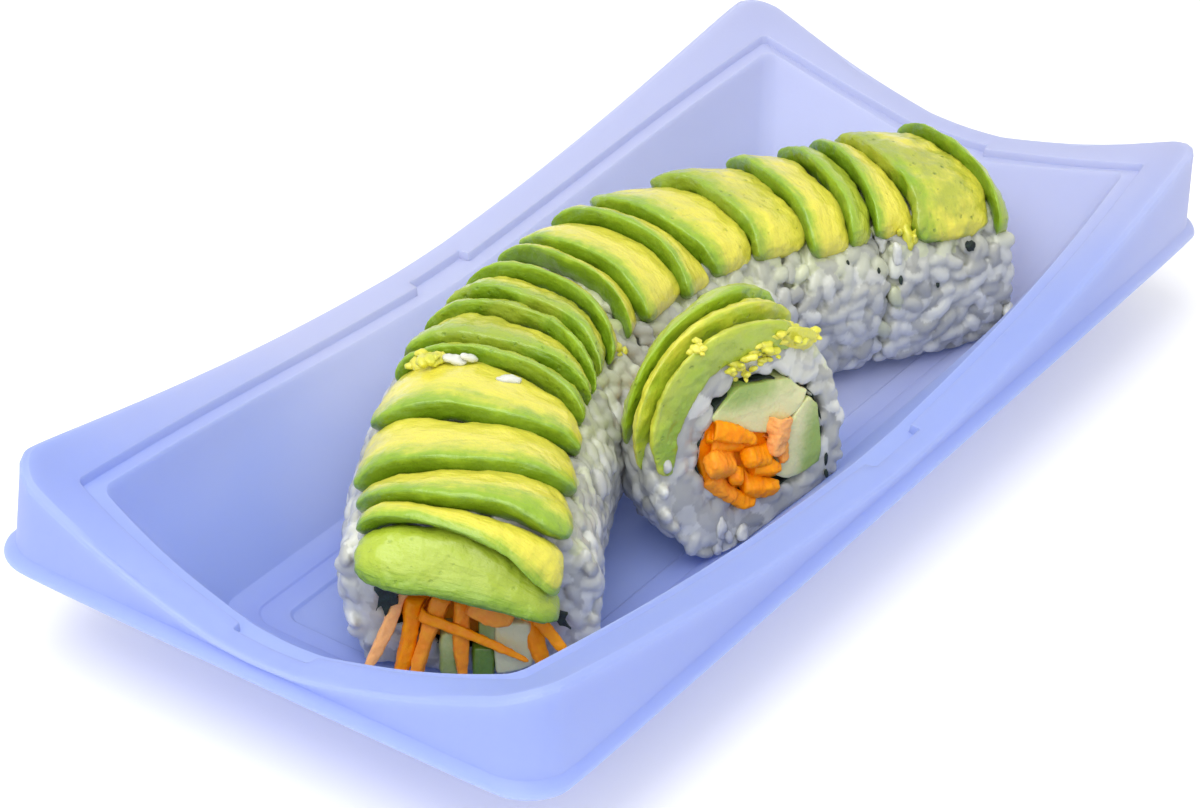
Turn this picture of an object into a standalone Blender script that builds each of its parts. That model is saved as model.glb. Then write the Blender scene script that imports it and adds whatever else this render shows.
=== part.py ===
"""Takeaway sushi tray: a frosted plastic tray with a cut avocado roll in it.

Metres, +Z up. X runs along the tray, -Y is the long side nearest the photo's camera, and
Z = 0 is the flat underside of the tray's well, on which the tray stands. Lengths below are
millimetres until scaled() turns them into metres.
"""
import math
import random

import bmesh
import bpy
from mathutils import Matrix, Vector

MM = 0.001

# Tray: driving sizes
TRAY_LENGTH = 240.0
TRAY_WIDTH = 110.2
HALF_X = TRAY_LENGTH / 2
HALF_Y = TRAY_WIDTH / 2
WALL = 1.0
SKIRT_Z = 18.9
CREASE_Z = 39.2
LONG_DIP = 15.3
SHORT_DIP = 16.2
DIP_POWER = 1.76
BAND_DROP = 0.5
BAND_CORNER_DROP = 5.2
STEP_DOWN = 1.7
LEDGE = 2.8
NOTCH_HALF = 8.5
NOTCH_DEPTH = 2.0
NOTCH_CHAMFER = 0.4
FLOOR_X, FLOOR_Y = 81.5, 21.1
LINE_X, LINE_Y = 86.0, 25.6
FOOT_X, FOOT_Y, FOOT_Z = 90.0, 29.5, 3.6
FLOOR_EDGE_RISE = 1.1
CHAMFER_RISE = 0.5
CREASE_X, CREASE_Y = 119.2, 53.4
BAND_X, BAND_Y = 112.3, 47.3
CORNER_STEPS = 5
LONG_STATIONS = (-1.0, -0.75, -0.5, -0.27)
SHORT_STATIONS = (-1.0, -0.6)

# Roll: driving sizes; each seam is (x, y, heading in degrees), from the front cut to the far end
ROLL_HALF_WIDTH = 20.3
ROLL_HEIGHT = 30.5
ROLL_BASE = WALL + 0.4
CLEARANCE = 0.35
HOLE_HALF_WIDTH = 13.4
HOLE_HALF_HEIGHT = 10.5
HOLE_CENTRE = 17.0
ROUND_POWERS = (0.8, 0.9)
BOXY_POWERS = (0.42, 0.5)
SEAMS = (
    (-76.0, -11.5, 31.0),
    (-53.0, 2.5, 27.0),
    (-30.0, 12.5, 18.0),
    (-6.5, 17.5, 7.0),
    (17.5, 18.0, -5.0),
    (41.0, 10.8, -20.0),
    (63.0, -0.6, -29.0),
    (85.8, -13.0, -22.0),
)
ARC_PITCH = 25.5
SEAM_GAP = 0.4
SECTION_STEPS = 26
PIECE_ROWS = 6
GRAIN_BUMP = 0.5
CUT_RING_SHARE = 0.55
COVERED_SINE = 0.3
NORI_THICK = 0.5
NORI_STEPS = 16

# Turned piece: its cut faces the near long side, leans back and stands higher than its back cut
TURNED_PLACE = (-13.9, -31.4, 65.0)
TURNED_LENGTH = 21.0
TURNED_BACK_HEADING = 83.0
TURNED_LEAN = 9.0
TURNED_RAISE = 1.8
TURNED_HEIGHT = 39.0
TURNED_HALF_WIDTH = 18.8
TURNED_SHIFT = -1.0
TURNED_TUCK = (0.92, 0.1)
TURNED_HOLE_CENTRE = 22.0
TURNED_HOLE_HALF_HEIGHT = 11.0

# Filling, (right, up) from the middle of the hole
CARROT_CORE = (
    (-10.5, 0.0),
    (-9.0, -5.0),
    (-4.0, -8.3),
    (3.5, -8.3),
    (4.8, -3.0),
    (4.8, 2.5),
    (-2.0, 3.0),
    (-8.5, 4.0),
)
CUCUMBER_BATON = ((-6.5, 5.2), (6.0, 3.6), (7.6, 6.6), (0.0, 9.1), (-5.0, 8.0))
FRONT_SLAB = ((5.6, -7.6), (9.6, -5.6), (11.2, -2.4), (6.2, -2.2))
CUCUMBER_SLAB = ((5.6, -7.6), (9.6, -5.6), (11.8, 0.0), (10.4, 4.4), (8.2, 5.6), (6.2, 2.2))
CORE_SET_BACK = 0.04
ROOT_SHARE = 0.6
ROOT_RISE = -2.5
ROOT_DEPTH = 6.0
FRONT_REACH = 2.0
FRONT_SHREDS = (
    ((-10.5, 16.5, 0.5), (-15.5, 7.0, 7.0), 2.6),
    ((-8.6, 14.0, 1.5), (-10.3, 4.5, 6.5), 2.6),
    ((-4.8, 16.0, 1.5), (-7.6, 5.2, 8.0), 2.6),
    ((-7.0, 15.0, 4.5), (13.9, 9.5, 7.5), 2.0),
    ((-0.6, 16.0, 1.5), (0.2, 4.2, 5.5), 2.8),
    ((0.5, 17.5, 3.0), (7.6, 16.5, 4.5), 3.2),
    ((4.0, 16.8, 2.5), (16.2, 12.0, 7.0), 2.4),
)
TURNED_SHREDS = (
    ((-8.6, 20.8, 0.5), (-6.6, 19.2, 2.4), 3.8),
    ((-9.0, 25.6, 0.5), (-2.0, 24.0, 1.8), 3.6),
    ((-3.5, 22.0, 0.5), (2.6, 20.6, 2.2), 3.6),
    ((-3.0, 17.6, 0.5), (2.0, 16.4, 2.0), 3.4),
    ((-7.0, 17.4, 0.5), (-4.6, 15.8, 1.6), 2.8),
)

# Avocado slices on the arc. The front edge of each is a curve over the roll: its place at the
# right end, over the middle and at the left end, in pieces from the front cut, then its right and
# left ends in degrees. The last row of a run is the back edge of its last slice.
FRONT_RUN = (
    (-0.42, -0.50, -0.20, 47.0, 137.0),
    (-0.25, -0.19, -0.05, 51.0, 134.0),
    (-0.09, -0.06, 0.19, 52.0, 133.0),
    (0.42, 0.38, 0.43, 50.0, 139.0),
    (0.93, 0.95, 1.03, 47.0, 134.0),
    (1.30, 1.64, 1.63, 49.0, 132.0),
    (1.65, 1.85, 1.86, 49.0, 133.0),
    (1.82, 2.28, 2.20, 49.0, 131.0),
    (2.02, 2.49, 2.50, 50.0, 131.0),
    (2.30, 2.84, 2.80, 50.0, 131.0),
    (2.55, 3.04, 3.00, 50.0, 131.0),
)
BACK_RUN = (
    (2.75, 3.15, 3.20, 50.0, 133.0),
    (3.02, 3.36, 3.46, 48.0, 133.0),
    (3.70, 3.92, 3.85, 45.0, 133.0),
    (4.18, 4.19, 4.25, 49.0, 133.0),
    (4.65, 4.83, 4.72, 49.0, 133.0),
    (5.22, 5.38, 5.39, 42.0, 133.0),
    (5.65, 5.80, 5.83, 45.0, 133.0),
    (5.90, 6.06, 6.10, 46.0, 133.0),
    (6.27, 6.38, 6.42, 40.0, 133.0),
    (6.70, 6.86, 6.90, 36.0, 133.0),
    (6.90, 7.04, 7.06, 36.0, 133.0),
)
# Slices on the turned piece: front and back as shares of its length, ends in degrees, thickness
TURNED_SLICES = (
    (-0.10, 0.20, 84.0, 182.0, 4.4),
    (0.215, 0.56, 58.0, 184.0, 4.4),
    (0.56, 0.96, 54.0, 178.0, 4.4),
    (-0.06, 0.16, 56.0, 81.0, 3.4),
)
TOP_ANGLE = 90.0
SLICE_STEPS = 10
SLICE_THICK = 5.4
BACK_SHARE = 0.62
SLICE_TAPER = 0.7
SLICE_GAP = 0.7
SLICE_LIFT = 0.35
SLICE_UNDERCUT = 3.0
HANGING_UNDERCUT = -2.0
TURNED_BOW = 0.06
BEND_RADIUS = 5.0
BEND_LIMIT = math.radians(80.0)


def remove_everything():
    for thing in list(bpy.data.objects):
        bpy.data.objects.remove(thing, do_unlink=True)


def material(name, colour, roughness, metallic=0.0):
    made = bpy.data.materials.new(name)
    made.use_nodes = True
    shader = made.node_tree.nodes["Principled BSDF"]
    shader.inputs["Base Color"].default_value = (*colour, 1.0)
    shader.inputs["Roughness"].default_value = roughness
    shader.inputs["Metallic"].default_value = metallic
    return made


def make_object(name, mesh_builder, finish):
    mesh = bpy.data.meshes.new(name)
    bmesh.ops.triangulate(mesh_builder, faces=mesh_builder.faces)
    bmesh.ops.recalc_face_normals(mesh_builder, faces=mesh_builder.faces)
    mesh_builder.to_mesh(mesh)
    mesh_builder.free()
    made = bpy.data.objects.new(name, mesh)
    bpy.context.scene.collection.objects.link(made)
    made.data.materials.append(finish)
    return made


def add_ring(builder, points):
    return [builder.verts.new(Vector(point) * MM) for point in points]


def bridge(builder, first, second):
    count = len(first)
    for index in range(count):
        following = (index + 1) % count
        builder.faces.new((first[index], first[following], second[following], second[index]))


# Tray


def side_stations(stations, half_length):
    """Fractions along one straight side, with a pair at each end of the lid notch."""
    inner = NOTCH_HALF / half_length
    outer = (NOTCH_HALF + NOTCH_CHAMFER) / half_length
    left = list(stations) + [-outer, -inner]
    return left + [0.0] + [-value for value in reversed(left)]


def outline(half_x, half_y, radius):
    """One loop of a rounded rectangle: (x, y, share of x, share of y, in the notch)."""
    straight_x, straight_y = half_x - radius, half_y - radius
    along = side_stations(LONG_STATIONS, HALF_X - radius)
    across = side_stations(SHORT_STATIONS, HALF_Y - radius)
    sides = (
        (along, lambda u: (u * straight_x, -half_y)),
        (across, lambda u: (half_x, u * straight_y)),
        (along, lambda u: (-u * straight_x, half_y)),
        (across, lambda u: (-half_x, -u * straight_y)),
    )
    corners = ((1, -1, -90.0), (1, 1, 0.0), (-1, 1, 90.0), (-1, -1, 180.0))
    loop = []
    for (stations, place), (sign_x, sign_y, start) in zip(sides, corners):
        notch_end = min(abs(value) for value in stations if value)
        for value in stations:
            x, y = place(value)
            loop.append((x, y, abs(value) <= notch_end))
        for step in range(1, CORNER_STEPS):
            angle = math.radians(start + 90.0 * step / CORNER_STEPS)
            x = sign_x * straight_x + radius * math.cos(angle)
            y = sign_y * straight_y + radius * math.sin(angle)
            loop.append((x, y, False))
    return [(x, y, x / half_x, y / half_y, in_notch) for x, y, in_notch in loop]


def rim_height(share_x, share_y):
    long_dip = LONG_DIP * (1.0 - min(abs(share_x), 1.0) ** DIP_POWER)
    short_dip = SHORT_DIP * (1.0 - min(abs(share_y), 1.0) ** DIP_POWER)
    return CREASE_Z - long_dip - short_dip


def band_height(share_x, share_y):
    corner = abs(share_x * share_y) ** 3
    return rim_height(share_x, share_y) - BAND_DROP - BAND_CORNER_DROP * corner


def tray_ring(half_x, half_y, radius, height, pinch=(0.0, 0.0), notch_push=0.0):
    """Points of one ring; pinch pulls the corners in, notch_push moves the lid notches out."""
    points = []
    for x, y, share_x, share_y, in_notch in outline(half_x, half_y, radius):
        corner = abs(share_x * share_y) ** 3
        z = height(share_x, share_y) if callable(height) else height
        place_x = x * (1.0 - pinch[0] / half_x * corner)
        place_y = y * (1.0 - pinch[1] / half_y * corner)
        if in_notch and abs(share_y) > abs(share_x):
            place_y += math.copysign(notch_push, y)
        elif in_notch:
            place_x += math.copysign(notch_push, x)
        points.append((place_x, place_y, z))
    return points


def tray_rings():
    """Rings from the middle of the floor, over the rim and back under the floor."""
    band_pinch = (3.4, 3.9)
    crease_pinch = (0.8, 1.4)

    def lowered(function, amount):
        return lambda share_x, share_y: function(share_x, share_y) - amount

    ledge_z = lowered(band_height, STEP_DOWN)
    return [
        tray_ring(FLOOR_X, FLOOR_Y, 3.0, WALL),
        tray_ring(FLOOR_X + 0.5, FLOOR_Y + 0.5, 3.4, WALL + 0.5),
        tray_ring(LINE_X, LINE_Y, 5.0, WALL + 0.7),
        tray_ring(LINE_X + 0.3, LINE_Y + 0.3, 5.2, WALL + 1.0),
        tray_ring(FOOT_X, FOOT_Y, 5.0, FOOT_Z),
        tray_ring(BAND_X - LEDGE, BAND_Y - LEDGE, 3.0, ledge_z, band_pinch),
        tray_ring(BAND_X - 0.3, BAND_Y - 0.3, 1.5, ledge_z, band_pinch, NOTCH_DEPTH),
        tray_ring(BAND_X, BAND_Y, 1.6, band_height, band_pinch, NOTCH_DEPTH),
        tray_ring(CREASE_X - 1.3, CREASE_Y - 1.3, 8.0, lowered(rim_height, 0.1), crease_pinch),
        tray_ring(CREASE_X - 0.3, CREASE_Y - 0.3, 9.0, lowered(rim_height, 0.25), crease_pinch),
        tray_ring(CREASE_X, CREASE_Y, 9.2, lowered(rim_height, 0.8), crease_pinch),
        tray_ring(HALF_X - 1.7, HALF_Y - 1.7, 9.0, SKIRT_Z + 2.8),
        tray_ring(HALF_X - 0.3, HALF_Y - 0.3, 9.6, SKIRT_Z + 1.5),
        tray_ring(HALF_X, HALF_Y, 9.8, SKIRT_Z + 0.8),
        tray_ring(HALF_X - 0.7, HALF_Y - 0.7, 9.2, SKIRT_Z),
        tray_ring(HALF_X - 2.0, HALF_Y - 2.0, 8.2, SKIRT_Z),
        tray_ring(HALF_X - 2.8, HALF_Y - 2.8, 8.0, SKIRT_Z + 2.8),
        tray_ring(CREASE_X - 1.3, CREASE_Y - 1.3, 7.6, lowered(rim_height, 1.4), crease_pinch),
        tray_ring(BAND_X + 1.0, BAND_Y + 1.0, 2.6, lowered(band_height, 1.1), band_pinch, NOTCH_DEPTH),
        tray_ring(BAND_X + 0.7, BAND_Y + 0.7, 2.4, lowered(ledge_z, 1.0), band_pinch, NOTCH_DEPTH),
        tray_ring(BAND_X - LEDGE + 1.0, BAND_Y - LEDGE + 1.0, 3.6, lowered(ledge_z, 1.1), band_pinch),
        tray_ring(FOOT_X + 0.8, FOOT_Y + 0.8, 5.4, FOOT_Z - 0.9),
        tray_ring(LINE_X + 0.8, LINE_Y + 0.8, 5.6, 0.0),
    ]


def build_tray(finish):
    builder = bmesh.new()
    rings = [add_ring(builder, points) for points in tray_rings()]
    for first, second in zip(rings, rings[1:]):
        bridge(builder, first, second)
    builder.faces.new(rings[0])
    builder.faces.new(rings[-1])
    return make_object("tray", builder, finish)


def well_half(z, foot, top):
    """Half size of the tray's well at height z, along its sloping inner wall."""
    top_z = band_height(0.0, 1.0) - STEP_DOWN
    share = max(0.0, (z - FOOT_Z) / (top_z - FOOT_Z))
    return foot + (top - foot) * share


def keep_in_well(point):
    """Pull a point of the food off the tray's floor and its inner walls."""
    x, y, z = point
    raised = abs(y) > FLOOR_Y - CLEARANCE or abs(x) > FLOOR_X - CLEARANCE
    past_line = max(abs(y) - LINE_Y, abs(x) - LINE_X, 0.0)
    rise = FLOOR_EDGE_RISE + past_line * CHAMFER_RISE if raised else 0.0
    z = max(z, WALL + rise + CLEARANCE)
    limit_x = well_half(z, FOOT_X, BAND_X - LEDGE) - CLEARANCE
    limit_y = well_half(z, FOOT_Y, BAND_Y - LEDGE) - CLEARANCE
    x = math.copysign(min(abs(x), limit_x), x)
    y = math.copysign(min(abs(y), limit_y), y)
    return Vector((x, y, z))


# Roll


class Piece:
    """One cut piece of the roll: two cut planes, and the frame of any section between them."""

    def __init__(self, front, back, turned=False):
        self.front = front
        self.back = back
        self.turned = turned
        self.lean = math.radians(TURNED_LEAN) if turned else 0.0
        self.lift = TURNED_RAISE if turned else 0.0
        self.height = TURNED_HEIGHT if turned else ROLL_HEIGHT
        self.hole_centre = TURNED_HOLE_CENTRE if turned else HOLE_CENTRE
        self.hole_half_height = TURNED_HOLE_HALF_HEIGHT if turned else HOLE_HALF_HEIGHT

    def place(self, share, right, up, forward=0.0):
        """World point, from a share of the way to the back and millimetres in the section."""
        x, y, heading = mix_stations(self.front, self.back, share)
        along = Vector((math.cos(heading), math.sin(heading), 0.0))
        side = Vector((math.sin(heading), -math.cos(heading), 0.0))
        offset = side * right + Vector((0.0, 0.0, up - ROLL_BASE)) - along * forward
        lean = Matrix.Rotation(-self.lean * (1.0 - share), 3, side)
        return Vector((x, y, ROLL_BASE + self.lift * (1.0 - share))) + lean @ offset

    def outline(self, angle):
        """Rice outline, (right, up), boxy below; angle 0 is the right side."""
        cosine, sine = math.cos(angle), math.sin(angle)
        wide, tall = ROUND_POWERS if sine > 0 or self.turned else BOXY_POWERS
        right = ROLL_HALF_WIDTH * math.copysign(abs(cosine) ** wide, cosine)
        up = self.height / 2 * math.copysign(abs(sine) ** tall, sine)
        if self.turned:
            tuck = TURNED_TUCK[0] - TURNED_TUCK[1] * sine if cosine > 0 else 1.0
            right = right * TURNED_HALF_WIDTH / ROLL_HALF_WIDTH * tuck + TURNED_SHIFT
        return right, ROLL_BASE + self.height / 2 + up

    def hole(self, angle, grow=0.0):
        """Outline of the hole that the nori lines, (right, up)."""
        right = (HOLE_HALF_WIDTH + grow) * math.cos(angle)
        return right, self.hole_centre + (self.hole_half_height + grow) * math.sin(angle)


def mix_stations(front, back, share):
    x, y, heading = (a * (1.0 - share) + b * share for a, b in zip(front, back))
    return x, y, math.radians(heading)


def path_piece(position):
    """Piece and share for a position counted in pieces from the front cut."""
    index = min(max(int(position), 0), len(SEAMS) - 2)
    return Piece(SEAMS[index], SEAMS[index + 1]), position - index


def roll_pieces():
    found = []
    for front, back in zip(SEAMS, SEAMS[1:]):
        trim = SEAM_GAP / 2 / math.hypot(back[0] - front[0], back[1] - front[1])
        ends = [
            tuple(a * (1.0 - share) + b * share for a, b in zip(front, back))
            for share in (trim, 1.0 - trim)
        ]
        found.append(Piece(*ends))
    x, y, heading = TURNED_PLACE
    along = math.radians(heading)
    back_x, back_y = x + TURNED_LENGTH * math.cos(along), y + TURNED_LENGTH * math.sin(along)
    back = (back_x, back_y, TURNED_BACK_HEADING)
    found.append(Piece(TURNED_PLACE, back, turned=True))
    return found


def circle_angles(steps):
    return [2 * math.pi * step / steps for step in range(steps)]


def build_rice(name, piece, open_front, open_back, chance, finish):
    """Rice ring with bumps as large as its grains, on the sides and on the cuts that show."""
    angles = circle_angles(SECTION_STEPS)

    def side_row(share):
        points = []
        for angle in angles:
            right, up = piece.outline(angle)
            slices_reach_down = piece.turned and math.cos(angle) < 0.0
            covered = math.sin(angle) > (-COVERED_SINE if slices_reach_down else COVERED_SINE)
            lift = chance.uniform(-GRAIN_BUMP, 0.0 if covered else GRAIN_BUMP)
            right += lift * math.cos(angle)
            up += lift * math.sin(angle)
            points.append(keep_in_well(piece.place(share, right, up)))
        return points

    def cut_row(share, mix, outward):
        points = []
        for angle in angles:
            outer, inner = piece.outline(angle), piece.hole(angle)
            right, up = (a * mix + b * (1.0 - mix) for a, b in zip(outer, inner))
            forward = outward * chance.uniform(0.0, 2 * GRAIN_BUMP)
            points.append(keep_in_well(piece.place(share, right, up, forward)))
        return points

    rows = [side_row(row / (PIECE_ROWS - 1)) for row in range(PIECE_ROWS)]
    rows.append(cut_row(1.0, CUT_RING_SHARE, -1.0 if open_back else 0.0))
    rows.append(cut_row(1.0, 0.0, 0.0))
    rows.append(cut_row(0.0, 0.0, 0.0))
    rows.append(cut_row(0.0, CUT_RING_SHARE, 1.0 if open_front else 0.0))
    return make_tube(name, rows, finish)


def make_tube(name, rows, finish):
    """Closed ring solid from rows of points that run on from the last to the first."""
    builder = bmesh.new()
    rings = [add_ring(builder, points) for points in rows]
    for first, second in zip(rings, rings[1:] + rings[:1]):
        bridge(builder, first, second)
    return make_object(name, builder, finish)


def build_nori(name, piece, finish):
    inner = -CLEARANCE - NORI_THICK
    corners = ((0.0, -CLEARANCE), (1.0, -CLEARANCE), (1.0, inner), (0.0, inner))
    rows = [
        [piece.place(share, *piece.hole(angle, grow)) for angle in circle_angles(NORI_STEPS)]
        for share, grow in corners
    ]
    return make_tube(name, rows, finish)


def make_loft(name, rows, finish):
    """Closed solid from rows of points, with a face on the first and the last row."""
    builder = bmesh.new()
    rings = [add_ring(builder, points) for points in rows]
    for first, second in zip(rings, rings[1:]):
        bridge(builder, first, second)
    builder.faces.new(rings[0])
    builder.faces.new(rings[-1])
    return make_object(name, builder, finish)


def build_prism(name, piece, outline, finish, front=0.0, forward=0.0):
    """Filling that runs through a piece: one outline, (right, up from the hole's middle)."""
    rows = []
    for share, reach in ((front, forward), (1.0, 0.0)):
        rows.append([piece.place(share, a, piece.hole_centre + b, reach) for a, b in outline])
    return make_loft(name, rows, finish)


def route_frames(route):
    """Two directions across a route at each of its points, turned no more than the route."""
    across = Vector((0.0, 1.0, 0.0))
    frames = []
    for index in range(len(route)):
        before, after = route[max(index - 1, 0)], route[min(index + 1, len(route) - 1)]
        direction = (after - before).normalized()
        across = (across - direction * across.dot(direction)).normalized()
        frames.append((across.copy(), direction.cross(across)))
    return frames


def build_shred(name, piece, route, width, finish):
    """A square shred along a route of (right, up, forward) points in a piece's section."""
    half = width / 2
    route = [Vector(point) for point in route]
    rows = []
    for point, (first, second) in zip(route, route_frames(route)):
        corners = ((-half, -half), (half, -half), (half, half), (-half, half))
        rows.append([piece.place(0.0, *(point + first * a + second * b)) for a, b in corners])
    return make_loft(name, rows, finish)


def build_carrots(name, piece, core, shreds, finish):
    """Bundle of carrot: a core that runs through, with the shreds that show fused on."""
    bundle = build_prism(name, piece, core, finish, front=CORE_SET_BACK)
    if not shreds:
        return bundle
    loose = bpy.data.collections.new(f"{name}_shreds")
    bpy.context.scene.collection.children.link(loose)
    for index, (start, end, width) in enumerate(shreds):
        root = (start[0] * ROOT_SHARE, piece.hole_centre + ROOT_RISE, -ROOT_DEPTH)
        shred = build_shred(f"{name}_{index}", piece, (root, start, end), width, finish)
        bpy.context.scene.collection.objects.unlink(shred)
        loose.objects.link(shred)
    union = bundle.modifiers.new("fuse", "BOOLEAN")
    union.operation = "UNION"
    union.operand_type = "COLLECTION"
    union.collection = loose
    union.solver = "MANIFOLD"
    bpy.context.view_layer.objects.active = bundle
    bpy.ops.object.modifier_apply(modifier=union.name)
    for shred in list(loose.objects):
        bpy.data.objects.remove(shred, do_unlink=True)
    bpy.data.collections.remove(loose)
    return bundle


# Avocado


def slice_profile(thick):
    """Section of a slice: (share of its width, undercut share, height), front rim first."""
    return (
        (0.0, 1.0, 0.0),
        (0.0, 0.35, thick * 0.45),
        (0.0, 0.0, thick),
        (0.3, 0.0, thick * 1.04),
        (1.0, 0.0, thick * BACK_SHARE),
        (1.0, 1.0, 0.0),
        (0.45, 1.0, 0.0),
    )


def build_slice(name, locate, span, thick, finish):
    """One slice laid over the roll, from its right end to its left end."""
    rows = []
    for step in range(SLICE_STEPS + 1):
        across = 2.0 * step / SLICE_STEPS - 1.0
        taper = 1.0 - SLICE_TAPER * abs(across) ** 3
        degrees = span[0] + (span[1] - span[0]) * step / SLICE_STEPS
        rows.append([locate(across, degrees, *point) for point in slice_profile(thick * taper)])
    return make_loft(name, rows, finish)


def front_edge(row, degrees):
    """Place along the roll of a slice's front edge: the parabola through its three places."""
    right, middle, left, low, high = row
    past_low, past_top, past_high = degrees - low, degrees - TOP_ANGLE, degrees - high
    return (
        right * past_top * past_high / ((low - TOP_ANGLE) * (low - high))
        + middle * past_low * past_high / ((TOP_ANGLE - low) * (TOP_ANGLE - high))
        + left * past_low * past_top / ((high - low) * (high - TOP_ANGLE))
    )


def over_the_cut(distance, lift):
    """Forward, up and lift of a slice that bends over the front cut's edge and hangs from it."""
    bend = min(distance / BEND_RADIUS, BEND_LIMIT)
    hanging = distance - BEND_RADIUS * bend
    forward = (BEND_RADIUS + lift) * math.sin(bend) + hanging * math.cos(bend)
    up = BEND_RADIUS * (math.cos(bend) - 1.0) - hanging * math.sin(bend)
    return forward, up, lift * math.cos(bend)


def place_on_roll(position, degrees, lift):
    """World point at a place along the arc and an angle over it, lift above the rice."""
    piece, along = path_piece(position)
    angle = math.radians(degrees)
    right, up = piece.outline(angle)
    forward = 0.0
    if position < 0.0:
        forward, drop, lift = over_the_cut(-position * ARC_PITCH, lift)
        along, up = 0.0, up + drop
    right += lift * math.cos(angle)
    up += lift * math.sin(angle)
    return keep_in_well(piece.place(along, right, up, forward))


def build_avocado_run(first_number, edges, finish):
    """Slices along the arc, each from its own front edge to the next one's."""
    for index, (row, following) in enumerate(zip(edges, edges[1:])):
        reach = HANGING_UNDERCUT if row is FRONT_RUN[0] else SLICE_UNDERCUT

        def locate(across, degrees, share, undercut, height):
            front = front_edge(row, degrees)
            back = front_edge(following, degrees) - SLICE_GAP / ARC_PITCH
            depth = SLICE_UNDERCUT if share > 0.0 else reach
            position = front + (back - front) * share + depth / ARC_PITCH * undercut
            return place_on_roll(position, degrees, height + SLICE_LIFT)

        build_slice(f"avocado_{first_number + index}", locate, row[3:], SLICE_THICK, finish)


def build_turned_avocado(first_number, piece, finish):
    """Slices laid down the turned piece's left side, and a scrap at the top of its cut."""
    for index, (front, back, low, high, thick) in enumerate(TURNED_SLICES):

        def locate(across, degrees, share, undercut, height):
            along = front + (back - front - SLICE_GAP / TURNED_LENGTH) * share
            along += SLICE_UNDERCUT / TURNED_LENGTH * undercut + TURNED_BOW * across**2
            angle = math.radians(degrees)
            right, up = piece.outline(angle)
            right += (height + SLICE_LIFT) * math.cos(angle)
            up += (height + SLICE_LIFT) * math.sin(angle)
            return piece.place(along, right, up)

        build_slice(f"avocado_{first_number + index}", locate, (low, high), thick, finish)


def main():
    remove_everything()
    chance = random.Random(8)
    plastic = material("frosted_plastic", (0.40, 0.47, 0.86), 0.45)
    rice = material("rice", (0.62, 0.63, 0.62), 0.5)
    nori = material("nori", (0.01, 0.02, 0.015), 0.6)
    carrot = material("carrot", (1.0, 0.27, 0.0), 0.4)
    cucumber = material("cucumber", (0.45, 0.50, 0.12), 0.35)
    avocado = material("avocado", (0.33, 0.50, 0.04), 0.4)
    build_tray(plastic)
    all_pieces = roll_pieces()
    last = len(all_pieces)
    for number, piece in enumerate(all_pieces, 1):
        opens = (number == 1 or piece.turned, number >= last - 1)
        build_rice(f"rice_{number}", piece, *opens, chance, rice)
        build_nori(f"nori_{number}", piece, nori)
        shreds = FRONT_SHREDS if number == 1 else TURNED_SHREDS if piece.turned else ()
        build_carrots(f"carrot_{number}", piece, CARROT_CORE, shreds, carrot)
        forward = FRONT_REACH if number == 1 else 0.0
        slab = FRONT_SLAB if number == 1 else CUCUMBER_SLAB
        build_prism(f"cucumber_{number}", piece, slab, cucumber, forward=forward)
        if number == 1 or piece.turned:
            build_prism(f"cucumber_{number}b", piece, CUCUMBER_BATON, cucumber)
    build_avocado_run(1, FRONT_RUN, avocado)
    build_avocado_run(len(FRONT_RUN), BACK_RUN, avocado)
    build_turned_avocado(len(FRONT_RUN) + len(BACK_RUN) - 1, all_pieces[-1], avocado)


main()
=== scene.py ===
"""Takeaway sushi tray: the frosted tray and the avocado roll in it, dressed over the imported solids."""

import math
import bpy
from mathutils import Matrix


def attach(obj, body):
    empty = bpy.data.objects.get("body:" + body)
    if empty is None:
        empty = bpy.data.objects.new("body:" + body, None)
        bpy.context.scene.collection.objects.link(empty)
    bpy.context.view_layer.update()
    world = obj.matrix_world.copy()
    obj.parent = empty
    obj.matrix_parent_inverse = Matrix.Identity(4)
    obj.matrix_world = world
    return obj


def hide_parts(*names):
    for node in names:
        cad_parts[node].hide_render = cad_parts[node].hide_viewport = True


bl_info = {
    "name": "Takeaway Sushi Tray",
    "version": (1, 0, 0),
    "blender": (4, 5, 0),
    "location": "View3D > Sidebar > Sushi Tray",
    "description": "Frosted tray with a cut avocado roll, shaped over its packed solids",
    "category": "Object",
}

import bpy
import numpy as np
from mathutils import Matrix, Vector
from mathutils.kdtree import KDTree

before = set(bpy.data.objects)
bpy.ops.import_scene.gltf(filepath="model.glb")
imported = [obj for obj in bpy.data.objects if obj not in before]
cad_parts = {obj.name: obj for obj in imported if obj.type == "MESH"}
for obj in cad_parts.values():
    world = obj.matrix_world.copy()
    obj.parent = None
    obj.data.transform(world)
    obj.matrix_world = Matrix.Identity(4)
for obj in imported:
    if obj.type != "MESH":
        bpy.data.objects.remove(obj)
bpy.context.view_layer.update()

MM = 0.001
SEED = 8

# Tray well, in millimetres, as the solids have it
FLOOR_TOP = 1.0
FLOOR_HALF = (81.5, 21.1)
LINE_HALF = (86.0, 25.6)
FOOT_HALF = (90.0, 29.5)
FOOT_TOP = 3.6
WELL_TOP_HALF = (109.5, 44.5)
WELL_TOP = 20.8
CLEARANCE = 0.35
LINE_RISE = 1.1

# Roll: each seam is (x, y, heading in degrees), from the front cut to the far end
HALF_WIDTH = 20.3
HEIGHT = 30.5
BASE = 1.4
HOLE_HALF = (13.4, 10.5)
HOLE_CENTRE = 17.0
SEAMS = (
    (-76, -11.5, 31), (-53, 2.5, 27), (-30, 12.5, 18), (-6.5, 17.5, 7),
    (17.5, 18, -5), (41, 10.8, -20), (63, -0.6, -29), (85.8, -13, -22),
)
PITCH = 25.5

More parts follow.
